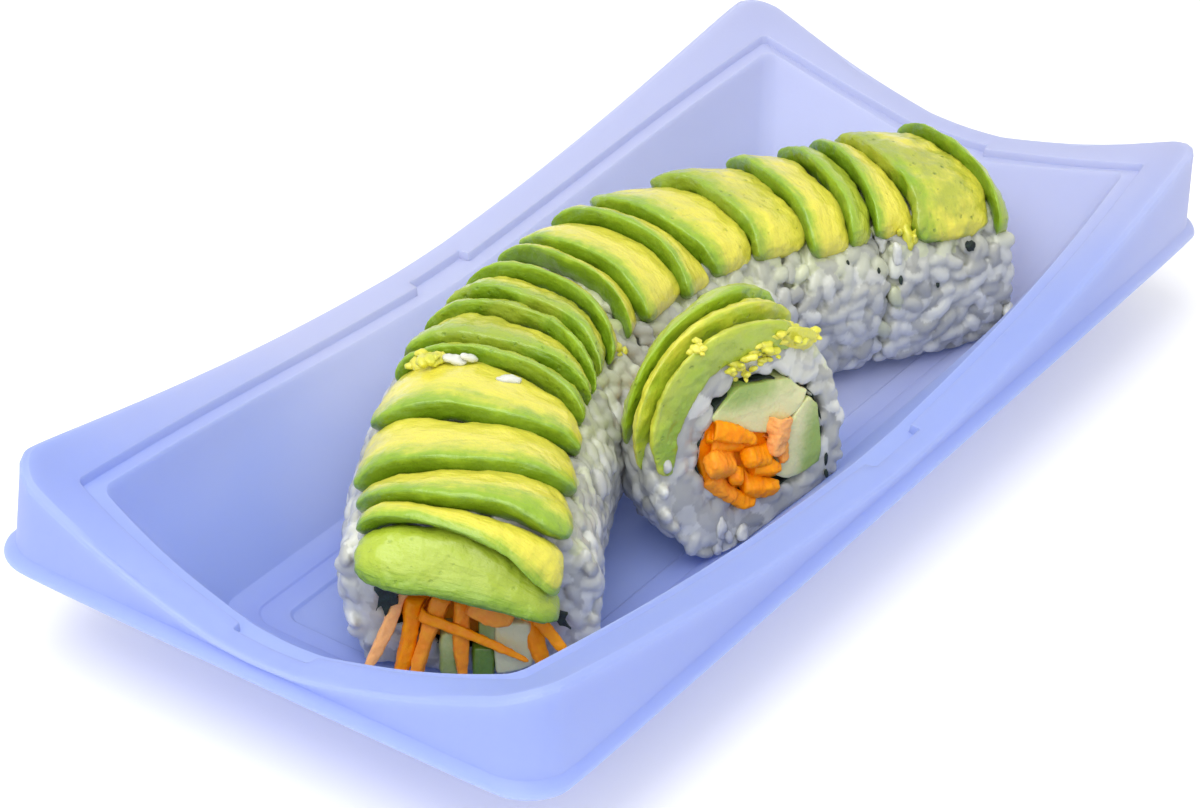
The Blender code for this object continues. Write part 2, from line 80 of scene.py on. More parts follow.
# Turned piece: its cut face looks at the near side and leans back
TURNED_FRONT = (-13.9, -31.4, 65.0)
TURNED_LENGTH = 21.0
TURNED_AXIS = math.radians(TURNED_FRONT[2])
TURNED_BACK = (
    TURNED_FRONT[0] + TURNED_LENGTH * math.cos(TURNED_AXIS),
    TURNED_FRONT[1] + TURNED_LENGTH * math.sin(TURNED_AXIS),
    83.0,
)
TURNED_LEAN = math.radians(9.0)
TURNED_RAISE = 1.8
TURNED_HEIGHT = 39.0
TURNED_HALF_WIDTH = 18.8
TURNED_HOLE_CENTRE = 22.0
TURNED_HOLE_HALF = (13.4, 11.0)

# Avocado slices on the arc: front edge at the right end, over the middle and at the left end, in
# pieces from the front cut, then the right and left ends in degrees, then how yellow the slice is
# and how pitted. The last row of a run is the back edge of its last slice.
FRONT_SLICES = (
    (-0.5, -0.5, -0.2, 47, 146, 0.05, 0.5), (-0.36, -0.17, -0.05, 48, 143, 0.6, 0.1),
    (-0.09, -0.04, 0.19, 48, 144, 0.7, 0.2), (0.42, 0.38, 0.43, 47, 149, 0.9, 0.1),
    (0.93, 0.95, 1.03, 46, 145, 0.85, 0.3), (1.3, 1.64, 1.63, 49, 142, 0.3, 0.6),
    (1.65, 1.85, 1.86, 49, 142, 0.45, 0.8), (1.82, 2.28, 2.2, 49, 140, 0.3, 0.8),
    (2.02, 2.49, 2.5, 50, 138, 0.45, 0.9), (2.3, 2.84, 2.8, 50, 136, 0.6, 0.4),
    (2.55, 3.04, 3.0, 50, 131, 0, 0),
)
BACK_SLICES = (
    (2.75, 3.15, 3.2, 50, 133, 1, 0.2), (3.02, 3.36, 3.46, 48, 133, 0.95, 0.1),
    (3.7, 3.92, 3.85, 45, 133, 0.7, 0.2), (4.18, 4.19, 4.25, 49, 133, 0.75, 0.5),
    (4.65, 4.83, 4.72, 49, 133, 0.85, 0.7), (5.22, 5.38, 5.39, 42, 133, 0.95, 0.2),
    (5.65, 5.8, 5.83, 45, 133, 0.2, 0.5), (5.9, 6.06, 6.1, 46, 133, 0.75, 0.3),
    (6.24, 6.34, 6.38, 36, 133, 0.75, 1), (6.84, 6.95, 6.97, 33, 133, 0.05, 0.4),
    (6.98, 7.09, 7.12, 33, 133, 0, 0),
)
# Slices on the turned piece: front and back as shares of its length, ends in degrees, thickness,
# lift over the rice, how far the lower left end fans out as a share, how deep in the flesh it was
# cut, yellow and pits
TURNED_SLICES = (
    (-0.16, 0.2, 64, 184, 6.9, -2.4, -0.03, 0.36, 0.4, 0.8),
    (0.205, 0.58, 50, 184, 5, 0.2, 0, 0.42, 0.5, 0.7),
    (0.58, 1.04, 44, 179, 5, 0.2, 0.14, 0.12, 0.1, 0.7),
    (-0.19, 0.02, 55, 80, 4, -1, 0, 0.85, 1, 0.8),
)
TOP_ANGLE = 90.0
SLICE_THICK = 5.4
SLICE_GAP = 0.7
SLICE_LIFT = 0.35
SLICE_UNDERCUT = 3.0
HANGING_UNDERCUT = -2.0
# How far from ripe the first slice is, which shows its outer flesh
GREEN_FLESH = -0.3
BEND_RADIUS = 5.0
BEND_LIMIT = math.radians(80)
# Section of a slice: share of its width, undercut share, height share, and depth of flesh from
# the green rim, 0, to the yellow inside, 1
SLICE_SECTION = (
    (0, 0.5, 0.02, 0), (0, 0.26, 0.22, 0), (0, 0.08, 0.46, 0.02), (0, 0, 0.72, 0.08),
    (0, 0, 0.92, 0.16), (0.008, 0, 1.02, 0.22), (0.05, 0, 1.06, 0.3), (0.2, 0, 1.04, 0.42),
    (0.38, 0, 0.97, 0.56), (0.6, 0, 0.85, 0.72), (0.84, 0, 0.69, 0.9), (1, 0.05, 0.52, 1),
    (1, 0.25, 0.3, 1), (1, 0.5, 0.06, 1), (0.7, 0.5, 0, 0.7), (0.35, 0.5, 0, 0.3),
)

# Filling. Carrot shreds: start and end of each, as (right, up, forward) in its cut face, width and
# how pale it is.
# Cucumber: outline of each baton as (right, up from the middle of the hole, how near the skin).
FRONT_SHREDS = (
    ((-11, 17.5, 1), (-15.6, 5.6, 7), 2.3, 1), ((-9, 16.5, 1.5), (-10.3, 3.6, 6), 2.9, 0),
    ((-4.2, 17.5, 1.5), (-7.8, 3.6, 7), 3.1, 0.12), ((-8, 15.4, 4.6), (10.8, 9.4, 6.6), 2, 0),
    ((-0.8, 17, 1.5), (0.3, 3.4, 5.5), 2.9, 0.1), ((0.4, 17.8, 3.4), (7.8, 16.4, 5), 4, 0.2),
    ((9.4, 17.8, 2.5), (16.9, 11.2, 6.6), 2.3, 0), ((9.8, 16.6, 1), (13.6, 7, 5), 3.6, 0),
    ((-9.6, 3.6, 7.4), (-4.4, 3, 8.6), 1.9, 0.9),
)
TURNED_SHREDS = (
    ((-10.8, 26.2, 0.9), (-1.8, 22.6, 2.2), 3.6, 0), ((-7, 18.8, 0.4), (-12.2, 21, 2.8), 4.9, 0.1),
    ((1.2, 18.2, 0.2), (-4.4, 20.2, 2.4), 4.2, 0), ((-1.8, 16.8, 0.4), (3.6, 15.6, 1.8), 3.6, 0),
    ((-3.6, 14.2, 0.6), (3, 12.7, 2.2), 3.8, 0), ((-4.5, 15.5, -0.4), (-6.4, 17.4, 2), 3.6, 0),
    ((-10.4, 17.2, 0.1), (-6, 12.2, 1.4), 3.4, 0.1), ((-6, 12.6, 0.2), (-1.6, 10.7, 1.4), 3.2, 0),
    ((-10.6, 23.2, -0.8), (-2, 21, 0.4), 4.2, 0), ((3.9, 25.6, 0.8), (2.2, 18.4, 1.6), 4.4, 0.8),
    ((3, 22.6, 0.6), (4.6, 16.6, 1.4), 3.4, 0.4),
)
BACK_BATON = ((-6.5, 5.2, 0), (6, 3.6, 0), (7.6, 6.6, 0.3), (0, 9.1, 1), (-5, 8, 0.9))
BACK_SLAB = (
    (5.6, -7.6, 0), (9.6, -5.6, 0.7), (11.8, 0, 1), (10.4, 4.4, 1), (8.2, 5.6, 0.5), (6.2, 2.2, 0),
)
FRONT_SLAB = (
    (2, -7.6, 0.6), (6, -9.6, 0.2), (11.4, -7.6, 0), (11.8, -1.4, 0), (4.6, -0.6, 0), (2, -3, 0.6),
)
# Ends of batons that hang out of the front cut: outline and how far forward each reaches
FRONT_STUBS = (
    (((4.4, -1.8, 0), (10.6, -1.8, 0), (11.6, -10.2, 0), (5.3, -12.8, 0.1)), 4.6),
    (((1.2, -7.6, 0.9), (4.8, -7.2, 1), (5.5, -13.6, 1), (1.6, -14, 1)), 4.3),
    (((-4.3, -5.6, 0.4), (-1.4, -5.2, 0.4), (-0.6, -13.9, 0.5), (-3.9, -13.8, 0.5)), 4),
)
TURNED_BATON = (
    (-10.4, 6.4, 0.3), (-4.4, 10.9, 0.7), (5.5, 10.2, 0.35), (9.8, 6.8, 0.1), (8.4, 3.6, 0),
    (2.4, 0.4, 0), (-3.7, 2, 0), (-9, 4, 0.2),
)
TURNED_SLAB = (
    (10, 5.6, 0.3), (12, 3.6, 0.5), (13, -3.8, 0.7), (12.6, -7.6, 0.8), (8.9, -9.2, 0.5),
    (6.1, -9.4, 0.1), (3, -8, 0), (4.3, -1.8, 0), (7, 3, 0),
)
CARROT_CORE = (
    (-12.7, 1), (-11.2, -5.4), (-7, -9.3), (4.5, -9.2), (6.4, -3), (5.4, 2.5), (-2, 4.4), (-10, 6.6),
)
# Ragged ends of seaweed beside the front shreds, (right, up from the middle of the hole)
LEFT_FLAP = (
    (-14.4, 5.7), (-13.3, 5.2), (-12.5, 5.9), (-11, 4.3), (-10.7, 2.1), (-11.5, 0.9), (-11.2, -0.5),
    (-12.4, -1.2), (-13.1, -3.5), (-14, -1.2), (-14.8, -2.4), (-14.4, 0.4), (-15.3, 1.9), (-14.2, 3.2),
)
RIGHT_FLAP = (
    (13.3, 0.9), (14.6, 0), (16.5, -0.2), (16.2, -1.8), (17.2, -3.3), (15.3, -2.7), (14.1, -1.2),
)
# Seaweed on the turned piece's cut: how far out it runs, from -180 degrees round to 180
TURNED_NORI = (1.04, 1.04, 1, 1, 1.05, 1.03, 1.06, 0.98, 0.97, 1, 1.02, 1.03, 0.98, 0.98, 1.04)

# Rice: random places tried on a side and on a cut, how far out of the surface a grain's middle lies,
# the lowest of them, how far the core swells, how far the front cut's low left corner is drawn in,
# and how fine the skin is that melts the grains together
SIDE_SPOTS = 5200
CUT_SPOTS = 1600
SINK = (-0.9, -0.1)
LOWEST_GRAIN = 2.9
SWELL = 0.35
CORNER_PULL = 2.6
VOXEL = 0.4
# Where the slices hide the rice, in degrees, the gap between the two runs of slices and the stained
# seam, in pieces from the front cut
ROLL_HIDDEN = (57.0, 126.0)
TURNED_HIDDEN = (60.0, 176.0)
BARE_GAP = (2.72, 3.25)
STAINED_SEAM = (5.94, 6.06)
# Rows of a baton, as shares of its piece's length, and of a stub, with its root behind the cut
BATON_ROWS = np.array([0.0, 0.04, 0.25, 0.375, 0.5, 0.625, 0.75, 0.875, 1.0])
STUB_ROWS = 6
STUB_ROOT = -3.0

# Loose bits: place, then length, width and thickness, then heading and tilt in degrees
AVOCADO_CRUMBS = (
    (-43.4, 22.3, 33.2, 7, 4, 3, -60, 0), (-44.2, 18.6, 35.6, 5, 3.4, 2.4, -75, 0),
    (-12.5, 1.8, 30, 3.4, 2.6, 2.4, 20, 0), (59.8, -17.6, 28.4, 7, 3.2, 3.6, -20, 60),
    (-16.7, -24.9, 38.6, 4.6, 2.4, 2, 50, 30), (-13.6, -26.2, 40.4, 5.2, 2.6, 2.2, 70, 20),
    (-12, -27.2, 41.6, 4, 3, 2.2, 30, 10), (-9.1, -28.2, 42.4, 5, 3, 2.2, 80, 15),
    (-6.3, -29.2, 42.8, 4, 3, 2, 60, 0), (-10.4, -28.4, 40, 3.2, 2.6, 1.8, 40, 10),
    (-2.4, -31.4, 40.6, 3.4, 2.4, 1.8, 80, 10), (-15.3, -25.8, 36.6, 2.6, 1.8, 1.6, 0, 40),
    (-4.6, -30.6, 41.4, 5.6, 2.8, 2, 75, 10), (-12.2, -27.2, 38.4, 2.4, 1.8, 1.4, 20, 0),
    (-24, -20.8, 43.6, 3.4, 2.6, 2.2, 10, 0),
)
LOOSE_GRAINS = (
    (-42.9, 15.6, 36.2, 5.6, 2.8, 2, 12, 0), (-41.7, 13.6, 36.8, 4.4, 2.3, 1.6, 55, 20),
    (-43, 4.4, 36.6, 5.6, 2.5, 2, 33, 0), (56.8, -13.8, 28.4, 7.4, 3, 2, -40, 60),
    (58.4, -14.8, 29.4, 5, 2.8, 2, -60, 40), (56, -18, 26.2, 7, 2.8, 2, -15, 75),
    (-21.2, -27.6, 8.6, 5.6, 3, 2.6, 0, 80), (-21.6, -27.4, 5.4, 5.6, 2.9, 2.6, 10, 85),
    (-19.8, -28.2, 6.6, 5.4, 3, 2.6, 60, 60), (-17.2, -29.6, 7, 5.4, 3, 2.6, -50, 40),
    (77.2, -33, 10.6, 5.6, 3, 2.6, -60, 20),
)
NORI_FLECKS = (
    (69.2, -26.7, 26, 2.6, 3, 0.9, -25, 65), (68.2, -26.5, 26.6, 1.6, 2.2, 0.8, -10, 60),
    (70, -26.9, 25.2, 1.8, 1.4, 0.8, -40, 60), (63, -23.9, 19.3, 2, 1, 0.8, -25, 70),
    (55.3, -19.7, 22, 2.4, 1, 0.8, -25, 70), (50.9, -17, 24.9, 1.6, 0.8, 0.7, -25, 70),
    (46.2, -12.7, 27, 1.4, 0.8, 0.7, -25, 60), (-0.7, -36.1, 16.2, 3.4, 1, 0.8, -25, 85),
    (-1, -36.7, 13.6, 2.2, 1.4, 0.8, 40, 80),
)

# Camera: its place in metres, and its right, down and forward directions
CAMERA_PLACE = (-0.4826, -0.2711, 0.3504)
CAMERA_RIGHT = (0.54075, -0.83795, 0.07374)
CAMERA_DOWN = (-0.40065, -0.33364, -0.85333)
CAMERA_FORWARD = (0.73964, 0.43189, -0.51614)
CAMERA_LENS = 107.33
CAMERA_SHIFT = (-0.003725, -0.019034)


# Node trees


def connect(tree, slot, value):
    """Link a term or a socket to a slot, or set the slot to a plain value."""
    value = getattr(value, "socket", value)
    if isinstance(value, bpy.types.NodeSocket):
        tree.links.new(value, slot)
    else:
        slot.default_value = value


def arithmetic(operation):
    """The methods for one of Python's operators and for its reflected form."""

    def forwards(self, other):
        return self.combine(operation, self, other)

    def backwards(self, other):
        return self.combine(operation, other, self)

    return forwards, backwards


class Term:
    """A number in a node tree. Arithmetic on it adds the nodes that work it out."""

    def __init__(self, tree, socket):
        self.tree = tree
        self.socket = socket

    def combine(self, operation, *values, clamp=False):
        node = self.tree.nodes.new("ShaderNodeMath")
        node.operation = operation
        node.use_clamp = clamp
        for slot, value in zip(node.inputs, values):
            connect(self.tree, slot, value)
        return Term(self.tree, node.outputs[0])

    __add__, __radd__ = arithmetic("ADD")
    __sub__, __rsub__ = arithmetic("SUBTRACT")
    __mul__, __rmul__ = arithmetic("MULTIPLY")

    def clamped(self):
        return self.combine("ADD", self, 0.0, clamp=True)

    def rise(self, low, high):
        """0 below low, 1 above high, and smooth between them."""
        node = self.tree.nodes.new("ShaderNodeMapRange")
        node.interpolation_type = "SMOOTHSTEP"
        for slot, value in (("Value", self), ("From Min", low), ("From Max", high)):
            connect(self.tree, node.inputs[slot], value)
        return Term(self.tree, node.outputs["Result"])


class Finish:
    """A material built node by node around one Principled shader."""

    def __init__(self, name, soft=(), **constants):
        """Soft is the weight, scale and radius of the light that scatters below the surface."""
        self.material = bpy.data.materials.new(name)
        self.material.use_nodes = True
        self.tree = self.material.node_tree
        self.shader = self.tree.nodes["Principled BSDF"]
        for slot, value in constants.items():
            self.feed(slot.replace("_", " "), value)
        for part, value in zip(("Weight", "Scale", "Radius"), soft):
            self.feed(f"Subsurface {part}", value)
        self.place = self.node("ShaderNodeTexCoord").outputs["Object"]

    def feed(self, slot, value):
        connect(self.tree, self.shader.inputs[slot], value)

    def node(self, kind, settings=None, values=None):
        """Any node: its type, its settings, and a value or a link for each named socket."""
        made = self.tree.nodes.new(kind)
        for setting, value in (settings or {}).items():
            setattr(made, setting, value)
        for slot, value in (values or {}).items():
            connect(self.tree, made.inputs[slot], value)
        return made

    def noise(self, size, detail=3.0, roughness=0.6, place=None):
        """Cloudy pattern whose spots are about size metres across."""
        values = {"Scale": 1.0 / size, "Detail": detail, "Roughness": roughness}
        values["Vector"] = place or self.place
        return Term(self.tree, self.node("ShaderNodeTexNoise", values=values).outputs[0])

    def cells(self, size):
        """Distance to the nearest of scattered points about size metres apart."""
        made = self.node("ShaderNodeTexVoronoi", values={"Vector": self.place, "Scale": 1.0 / size})
        return Term(self.tree, made.outputs["Distance"])

    def attribute(self, name):
        made = self.node("ShaderNodeAttribute", {"attribute_name": name})
        return Term(self.tree, made.outputs["Fac"])

    def blend(self, share, first, second):
        """Colour between two colours or colour sockets."""
        made = self.node("ShaderNodeMix", {"data_type": "RGBA"}, {0: share})
        for slot, value in ((6, first), (7, second)):
            linked = isinstance(value, bpy.types.NodeSocket)
            connect(self.tree, made.inputs[slot], value if linked else (*value, 1.0))
        return made.outputs[2]

    def done(self, colour, roughness, height, distance, strength):
        """Feed the shader. The relief's height, from 0 to 1, stands for distance metres."""
        self.feed("Base Color", colour)
        self.feed("Roughness", roughness)
        values = {"Height": height, "Distance": distance, "Strength": strength}
        self.feed("Normal", self.node("ShaderNodeBump", values=values).outputs["Normal"])
        return self.material

    def let_light_through(self, share, colour):
        """Mix in light that comes through from behind, as through frosted plastic."""
        behind = self.node("ShaderNodeBsdfTranslucent", values={"Color": colour})
        values = {0: share, 1: self.shader.outputs[0], 2: behind.outputs[0]}
        mixed = self.node("ShaderNodeMixShader", values=values)
        surface = self.tree.nodes["Material Output"].inputs["Surface"]
        connect(self.tree, surface, mixed.outputs[0])


# Finishes


def plastic_finish(looks):
    made = Finish("frosted_plastic", (0.75, 0.006, (0.8, 0.9, 1.0)), IOR=1.49)
    axes = made.node("ShaderNodeSeparateXYZ", values={"Vector": made.place}).outputs
    across, along = Term(made.tree, axes["Y"]), Term(made.tree, axes["X"])
    # Painted backlight: the plastic is painted paler towards the back wall and the far end, standing in for
    # light that comes through the walls from behind, with a little cloudy noise
    painted_backlight = (8.0 * along + 13.0 * across + 0.3 * made.noise(0.03, 2.0, 0.5)).rise(-0.15, 0.55)
    colour = made.blend(painted_backlight, looks.plastic, looks.plastic_painted_backlit)
    roughness = 0.36 + 0.12 * made.noise(0.012, 2.0, 0.5)
    relief = made.noise(0.0006, 3.0, 0.5) + 3.0 * made.noise(0.02, 1.0, 0.5)
    made.let_light_through(0.28, (0.8, 0.84, 1.0, 1.0))
    return made.done(colour, roughness, relief, 0.00006, 0.35)


def rice_finish(looks):
    made = Finish("rice", (0.7, 0.003, (1.0, 0.95, 0.85)), Coat_Weight=0.3)
    colour = made.blend(made.attribute("tone"), looks.rice_grey, looks.rice)
    colour = made.blend(made.attribute("stain"), colour, looks.rice_stained)
    roughness = 0.28 + 0.2 * made.noise(0.003, 2.0, 0.5)
    return made.done(colour, roughness, made.noise(0.0009, 2.0, 0.5), 0.00012, 0.4)


def nori_finish(looks):
    made = Finish("nori")
    fibres = made.noise(0.0012, 4.0, 0.7)
    colour = made.blend(fibres.rise(0.35, 0.75), looks.nori, looks.nori_green)
    return made.done(colour, 0.4 + 0.3 * fibres, fibres, 0.0004, 0.8)


def carrot_finish(looks):
    made = Finish("carrot", (0.15, 0.0015, (1.0, 0.4, 0.1)), Specular_IOR_Level=0.25)
    streak = made.noise(0.0018)
    pale = made.attribute("pale") * (0.6 + 0.8 * streak).clamped()
    colour = made.blend(streak.rise(0.3, 0.75), looks.carrot_deep, looks.carrot)
    colour = made.blend(pale, colour, looks.carrot_pale)
    relief = made.noise(0.0007, 3.0, 0.5) + 0.6 * streak
    return made.done(colour, 0.3 + 0.25 * streak, relief, 0.00025, 0.6)


def cucumber_finish(looks):
    made = Finish("cucumber", (0.25, 0.003), Coat_Weight=0.3)
    mottle = made.noise(0.0025)
    skin = made.attribute("skin") + 0.3 * (mottle - 0.5)
    colour = made.blend(skin.rise(0.1, 0.6), looks.cucumber_pale, looks.cucumber)
    colour = made.blend(skin.rise(0.7, 0.95), colour, looks.cucumber_skin)
    relief = made.noise(0.0008, 2.0, 0.5) + 0.8 * mottle
    return made.done(colour, 0.22 + 0.25 * mottle, relief, 0.0003, 0.6)


def avocado_finish(looks):
    made = Finish("avocado", (0.15, 0.0015, (0.8, 1.0, 0.2)), Coat_Weight=0.5, Coat_Roughness=0.16)
    depth, yellow, pits, lengthwise = (
        made.attribute(name) for name in ("depth", "yellow", "pits", "lengthwise")
    )
    clouds = made.noise(0.005)
    fine = made.noise(0.0014)
    across = {"X": 0.2 * lengthwise, "Y": 0.012 * depth, "Z": lengthwise * 0.02}
    streaks = made.noise(0.0012, place=made.node("ShaderNodeCombineXYZ", values=across).outputs[0])
    level = depth + 0.3 * (clouds - 0.5) + 0.25 * (streaks - 0.5) + 0.12 * (fine - 0.5)
    colour = made.blend(level.rise(0.05, 0.3), looks.avocado_rim, looks.avocado)
    colour = made.blend(level.rise(0.25, 0.6), colour, looks.avocado_light)
    ripe = (level - 0.56 + 0.36 * yellow).rise(0.0, 0.34) * yellow.rise(0.0, 0.6)
    colour = made.blend(ripe, colour, looks.avocado_yellow)
    mash = made.noise(0.011, 4.0, 0.55).rise(0.42, 0.62)
    colour = made.blend(0.85 * mash * pits.rise(0.3, 1.0) * pits, colour, looks.avocado_olive)
    dots = (1.0 - made.cells(0.0022).rise(0.05, 0.26)) * pits * fine.rise(0.45, 0.6)
    colour = made.blend(0.7 * dots, colour, looks.avocado_rim)
    relief = 0.7 * made.noise(0.0012) + 0.8 * clouds + 0.8 * streaks - 0.9 * dots
    return made.done(colour, 0.2 + 0.22 * clouds + 0.12 * fine, relief, 0.0005, 0.65)


# Shaping


def deselect():
    bpy.ops.object.select_all(action="DESELECT")


def hold(piece):
    """Make one object the selected and active one."""
    deselect()
    piece.select_set(True)
    bpy.context.view_layer.objects.active = piece


def add(name, data):
    """A new object at the origin."""
    made = bpy.data.objects.new(name, data)
    bpy.context.scene.collection.objects.link(made)
    return made


def corners(mesh):
    found = np.empty(len(mesh.vertices) * 3)
    mesh.vertices.foreach_get("co", found)
    return found.reshape(-1, 3)


def move_corners(mesh, points):
    mesh.vertices.foreach_set("co", np.asarray(points, float).ravel())
    mesh.update()


def paint(piece, name, values):
    """Store one number a corner, for a finish to read."""
    mesh = piece.data
    layer = mesh.attributes.get(name) or mesh.attributes.new(name, "FLOAT", "POINT")
    layer.data.foreach_set("value", np.broadcast_to(values, len(mesh.vertices)).astype(np.float32))


def edit(operator, everything=True, **settings):
    """Run an operator of edit mode, on everything or on what is selected."""
    bpy.ops.object.mode_set(mode="EDIT")
    if everything:
        bpy.ops.mesh.select_all(action="SELECT")
    operator(**settings)
    bpy.ops.object.mode_set(mode="OBJECT")


def select_only(mesh, kind, chosen):
    """Select only those of a mesh's edges or polygons that a test picks."""
    bpy.context.tool_settings.mesh_select_mode = (False, kind == "edges", kind == "polygons")
    edit(bpy.ops.mesh.select_all, False, action="DESELECT")
    for element in getattr(mesh, kind):
        element.select = chosen(element)


def modify(piece, kind, **settings):
    """Add a modifier with its settings, and keep its result."""
    hold(piece)
    modifier = piece.modifiers.new(kind.lower(), kind)
    for setting, value in settings.items():
        setattr(modifier, setting, value)
    bpy.ops.object.modifier_apply(modifier=modifier.name)


def stock(name, sides, rows):
    """A capped rod cut into rows, with the side and the row of each of its corners."""
    deselect()
    bpy.ops.mesh.primitive_cylinder_add(vertices=sides, radius=1.0, depth=float(rows))
    rod = bpy.context.object
    rod.name = rod.data.name = name

    def lengthwise(edge):
        ends = [rod.data.vertices[index].co.z for index in edge.vertices]
        return abs(ends[0] - ends[1]) > 0.5

    select_only(rod.data, "edges", lengthwise)
    edit(bpy.ops.mesh.subdivide, False, number_cuts=rows - 1)
    points = corners(rod.data)
    turn = np.arctan2(points[:, 0], points[:, 1]) / (2 * math.pi)
    side = np.rint(turn * sides).astype(int) % sides
    row = np.rint(points[:, 2] + rows / 2).astype(int)
    return rod, side, row


def face_outwards(piece):
    hold(piece)
    edit(bpy.ops.mesh.normals_make_consistent, inside=False)


def smooth(piece, levels):
    """Round the piece."""
    modify(piece, "SUBSURF", levels=levels, render_levels=levels)
    bpy.ops.object.shade_smooth()


def soften(piece, width, sharp=25.0):
    """Bevel the edges that turn by more than sharp degrees, width millimetres wide."""
    angle = {"limit_method": "ANGLE", "angle_limit": math.radians(sharp)}
    modify(piece, "BEVEL", width=width * MM, segments=2, **angle)


def fuse(piece, voxel):
    """Melt overlapping parts into one skin, voxel millimetres fine."""
    modify(piece, "REMESH", mode="VOXEL", voxel_size=voxel * MM)
    bpy.ops.object.shade_smooth()


def roughen(piece, size, height):
    """Push the surface in and out by a cloudy pattern, spots of size and height in millimetres."""
    clouds = bpy.data.textures.new("lumps", "CLOUDS")
    clouds.noise_scale = size * MM
    clouds.noise_depth = 2
    modify(piece, "DISPLACE", texture=clouds, texture_coords="LOCAL", strength=2.0 * height * MM)
    bpy.data.textures.remove(clouds)


def join(pieces, name):
    deselect()
    for piece in pieces:
        piece.select_set(True)
    bpy.context.view_layer.objects.active = pieces[0]
    bpy.ops.object.join()
    made = bpy.context.object
    made.name = made.data.name = name
    return made


def keep(piece, finish, slot, *nodes):
    """Give a finished piece its material and its body, in place of its solids."""
    piece.data.materials.clear()
    piece.data.materials.append(finish)
    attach(piece, "root")
    if nodes:
        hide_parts(*nodes)


def dress(node, finish):
    """Give a solid that keeps its shape a finish."""
    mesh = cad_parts[node].data
    mesh.materials.clear()
    mesh.materials.append(finish)


def copy_of_node(node, name):
    """A node's own mesh as a new object, its loose triangles merged."""
    made = add(name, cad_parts[node].data.copy())
    made.data.name = name
    hold(made)
    edit(bpy.ops.mesh.remove_doubles, threshold=0.01 * MM)
    return made


# Roll geometry, in millimetres, over numbers or arrays of them


class Section:
    """One cut piece of the roll: where a share of its length and a place in its section lie."""

    def __init__(self, front, back, turned=False):
        self.front = front
        self.back = back
        self.turned = turned
        self.lean = TURNED_LEAN if turned else 0.0
        self.lift = TURNED_RAISE if turned else 0.0
        self.height = TURNED_HEIGHT if turned else HEIGHT
        self.hole_centre = TURNED_HOLE_CENTRE if turned else HOLE_CENTRE
        self.hole_half = TURNED_HOLE_HALF if turned else HOLE_HALF

    def place(self, share, right, up, forward=0.0):
        """Point from a share of the way to the back and millimetres in the section."""
        share, right, up, forward = np.broadcast_arrays(share, right, up, forward)
        x, y, heading = (a * (1.0 - share) + b * share for a, b in zip(self.front, self.back))
        heading = np.radians(heading)
        lean = -self.lean * (1.0 - share)
        raised = up - BASE
        along = -raised * np.sin(lean) - forward * np.cos(lean)
        rise = raised * np.cos(lean) - forward * np.sin(lean)
        px = x + np.cos(heading) * along + np.sin(heading) * right
        py = y + np.sin(heading) * along - np.cos(heading) * right
        return np.stack([px, py, BASE + self.lift * (1.0 - share) + rise], axis=-1)

    def outline(self, angle):
        """Rice outline, (right, up), boxy below; angle 0 is the right side."""
        cosine, sine = np.cos(angle), np.sin(angle)
        rounded = (sine > 0) | self.turned
        right = HALF_WIDTH * np.sign(cosine) * np.abs(cosine) ** np.where(rounded, 0.8, 0.42)
        up = self.height / 2 * np.sign(sine) * np.abs(sine) ** np.where(rounded, 0.9, 0.5)
        if self.turned:
            tuck = np.where(cosine > 0, 0.92 - 0.1 * sine, 1.0)
            right = right * TURNED_HALF_WIDTH / HALF_WIDTH * tuck - 1.0
        return right, BASE + self.height / 2 + up

    def side(self, share, angle):
        return self.place(share, *self.outline(angle))

    def hole(self, angle, grow=0.0):
        right = (self.hole_half[0] + grow) * np.cos(angle)
        return right, self.hole_centre + (self.hole_half[1] + grow) * np.sin(angle)


def between(values, low, high):
    return (values > low) & (values < high)


ROLL = [Section(front, back) for front, back in zip(SEAMS, SEAMS[1:])]
TURNED = Section(TURNED_FRONT, TURNED_BACK, turned=True)
PIECES = ROLL + [TURNED]


def keep_in_well(points):
    """Pull points of the food off the tray's floor and its inner walls."""
    x, y, z = np.moveaxis(np.asarray(points, float), -1, 0)
    raised = (np.abs(y) > FLOOR_HALF[1] - CLEARANCE) | (np.abs(x) > FLOOR_HALF[0] - CLEARANCE)
    past = np.maximum(np.maximum(np.abs(y) - LINE_HALF[1], np.abs(x) - LINE_HALF[0]), 0.0)
    z = np.maximum(z, FLOOR_TOP + CLEARANCE + np.where(raised, LINE_RISE + past * 0.5, 0.0))
    share = np.maximum(0.0, (z - FOOT_TOP) / (WELL_TOP - FOOT_TOP))
    limit_x, limit_y = (
        foot + (top - foot) * share - CLEARANCE for foot, top in zip(FOOT_HALF, WELL_TOP_HALF)
    )
    return np.stack([np.clip(x, -limit_x, limit_x), np.clip(y, -limit_y, limit_y), z], axis=-1)


def over_the_cut(distance, lift):
    """Forward, up and lift of a slice that bends over the front cut's edge and hangs from it."""
    bend = np.minimum(distance / BEND_RADIUS, BEND_LIMIT)
    hanging = distance - BEND_RADIUS * bend
    forward = (BEND_RADIUS + lift) * np.sin(bend) + hanging * np.cos(bend)
    up = BEND_RADIUS * (np.cos(bend) - 1.0) - hanging * np.sin(bend)
    return forward, up, lift * np.cos(bend)


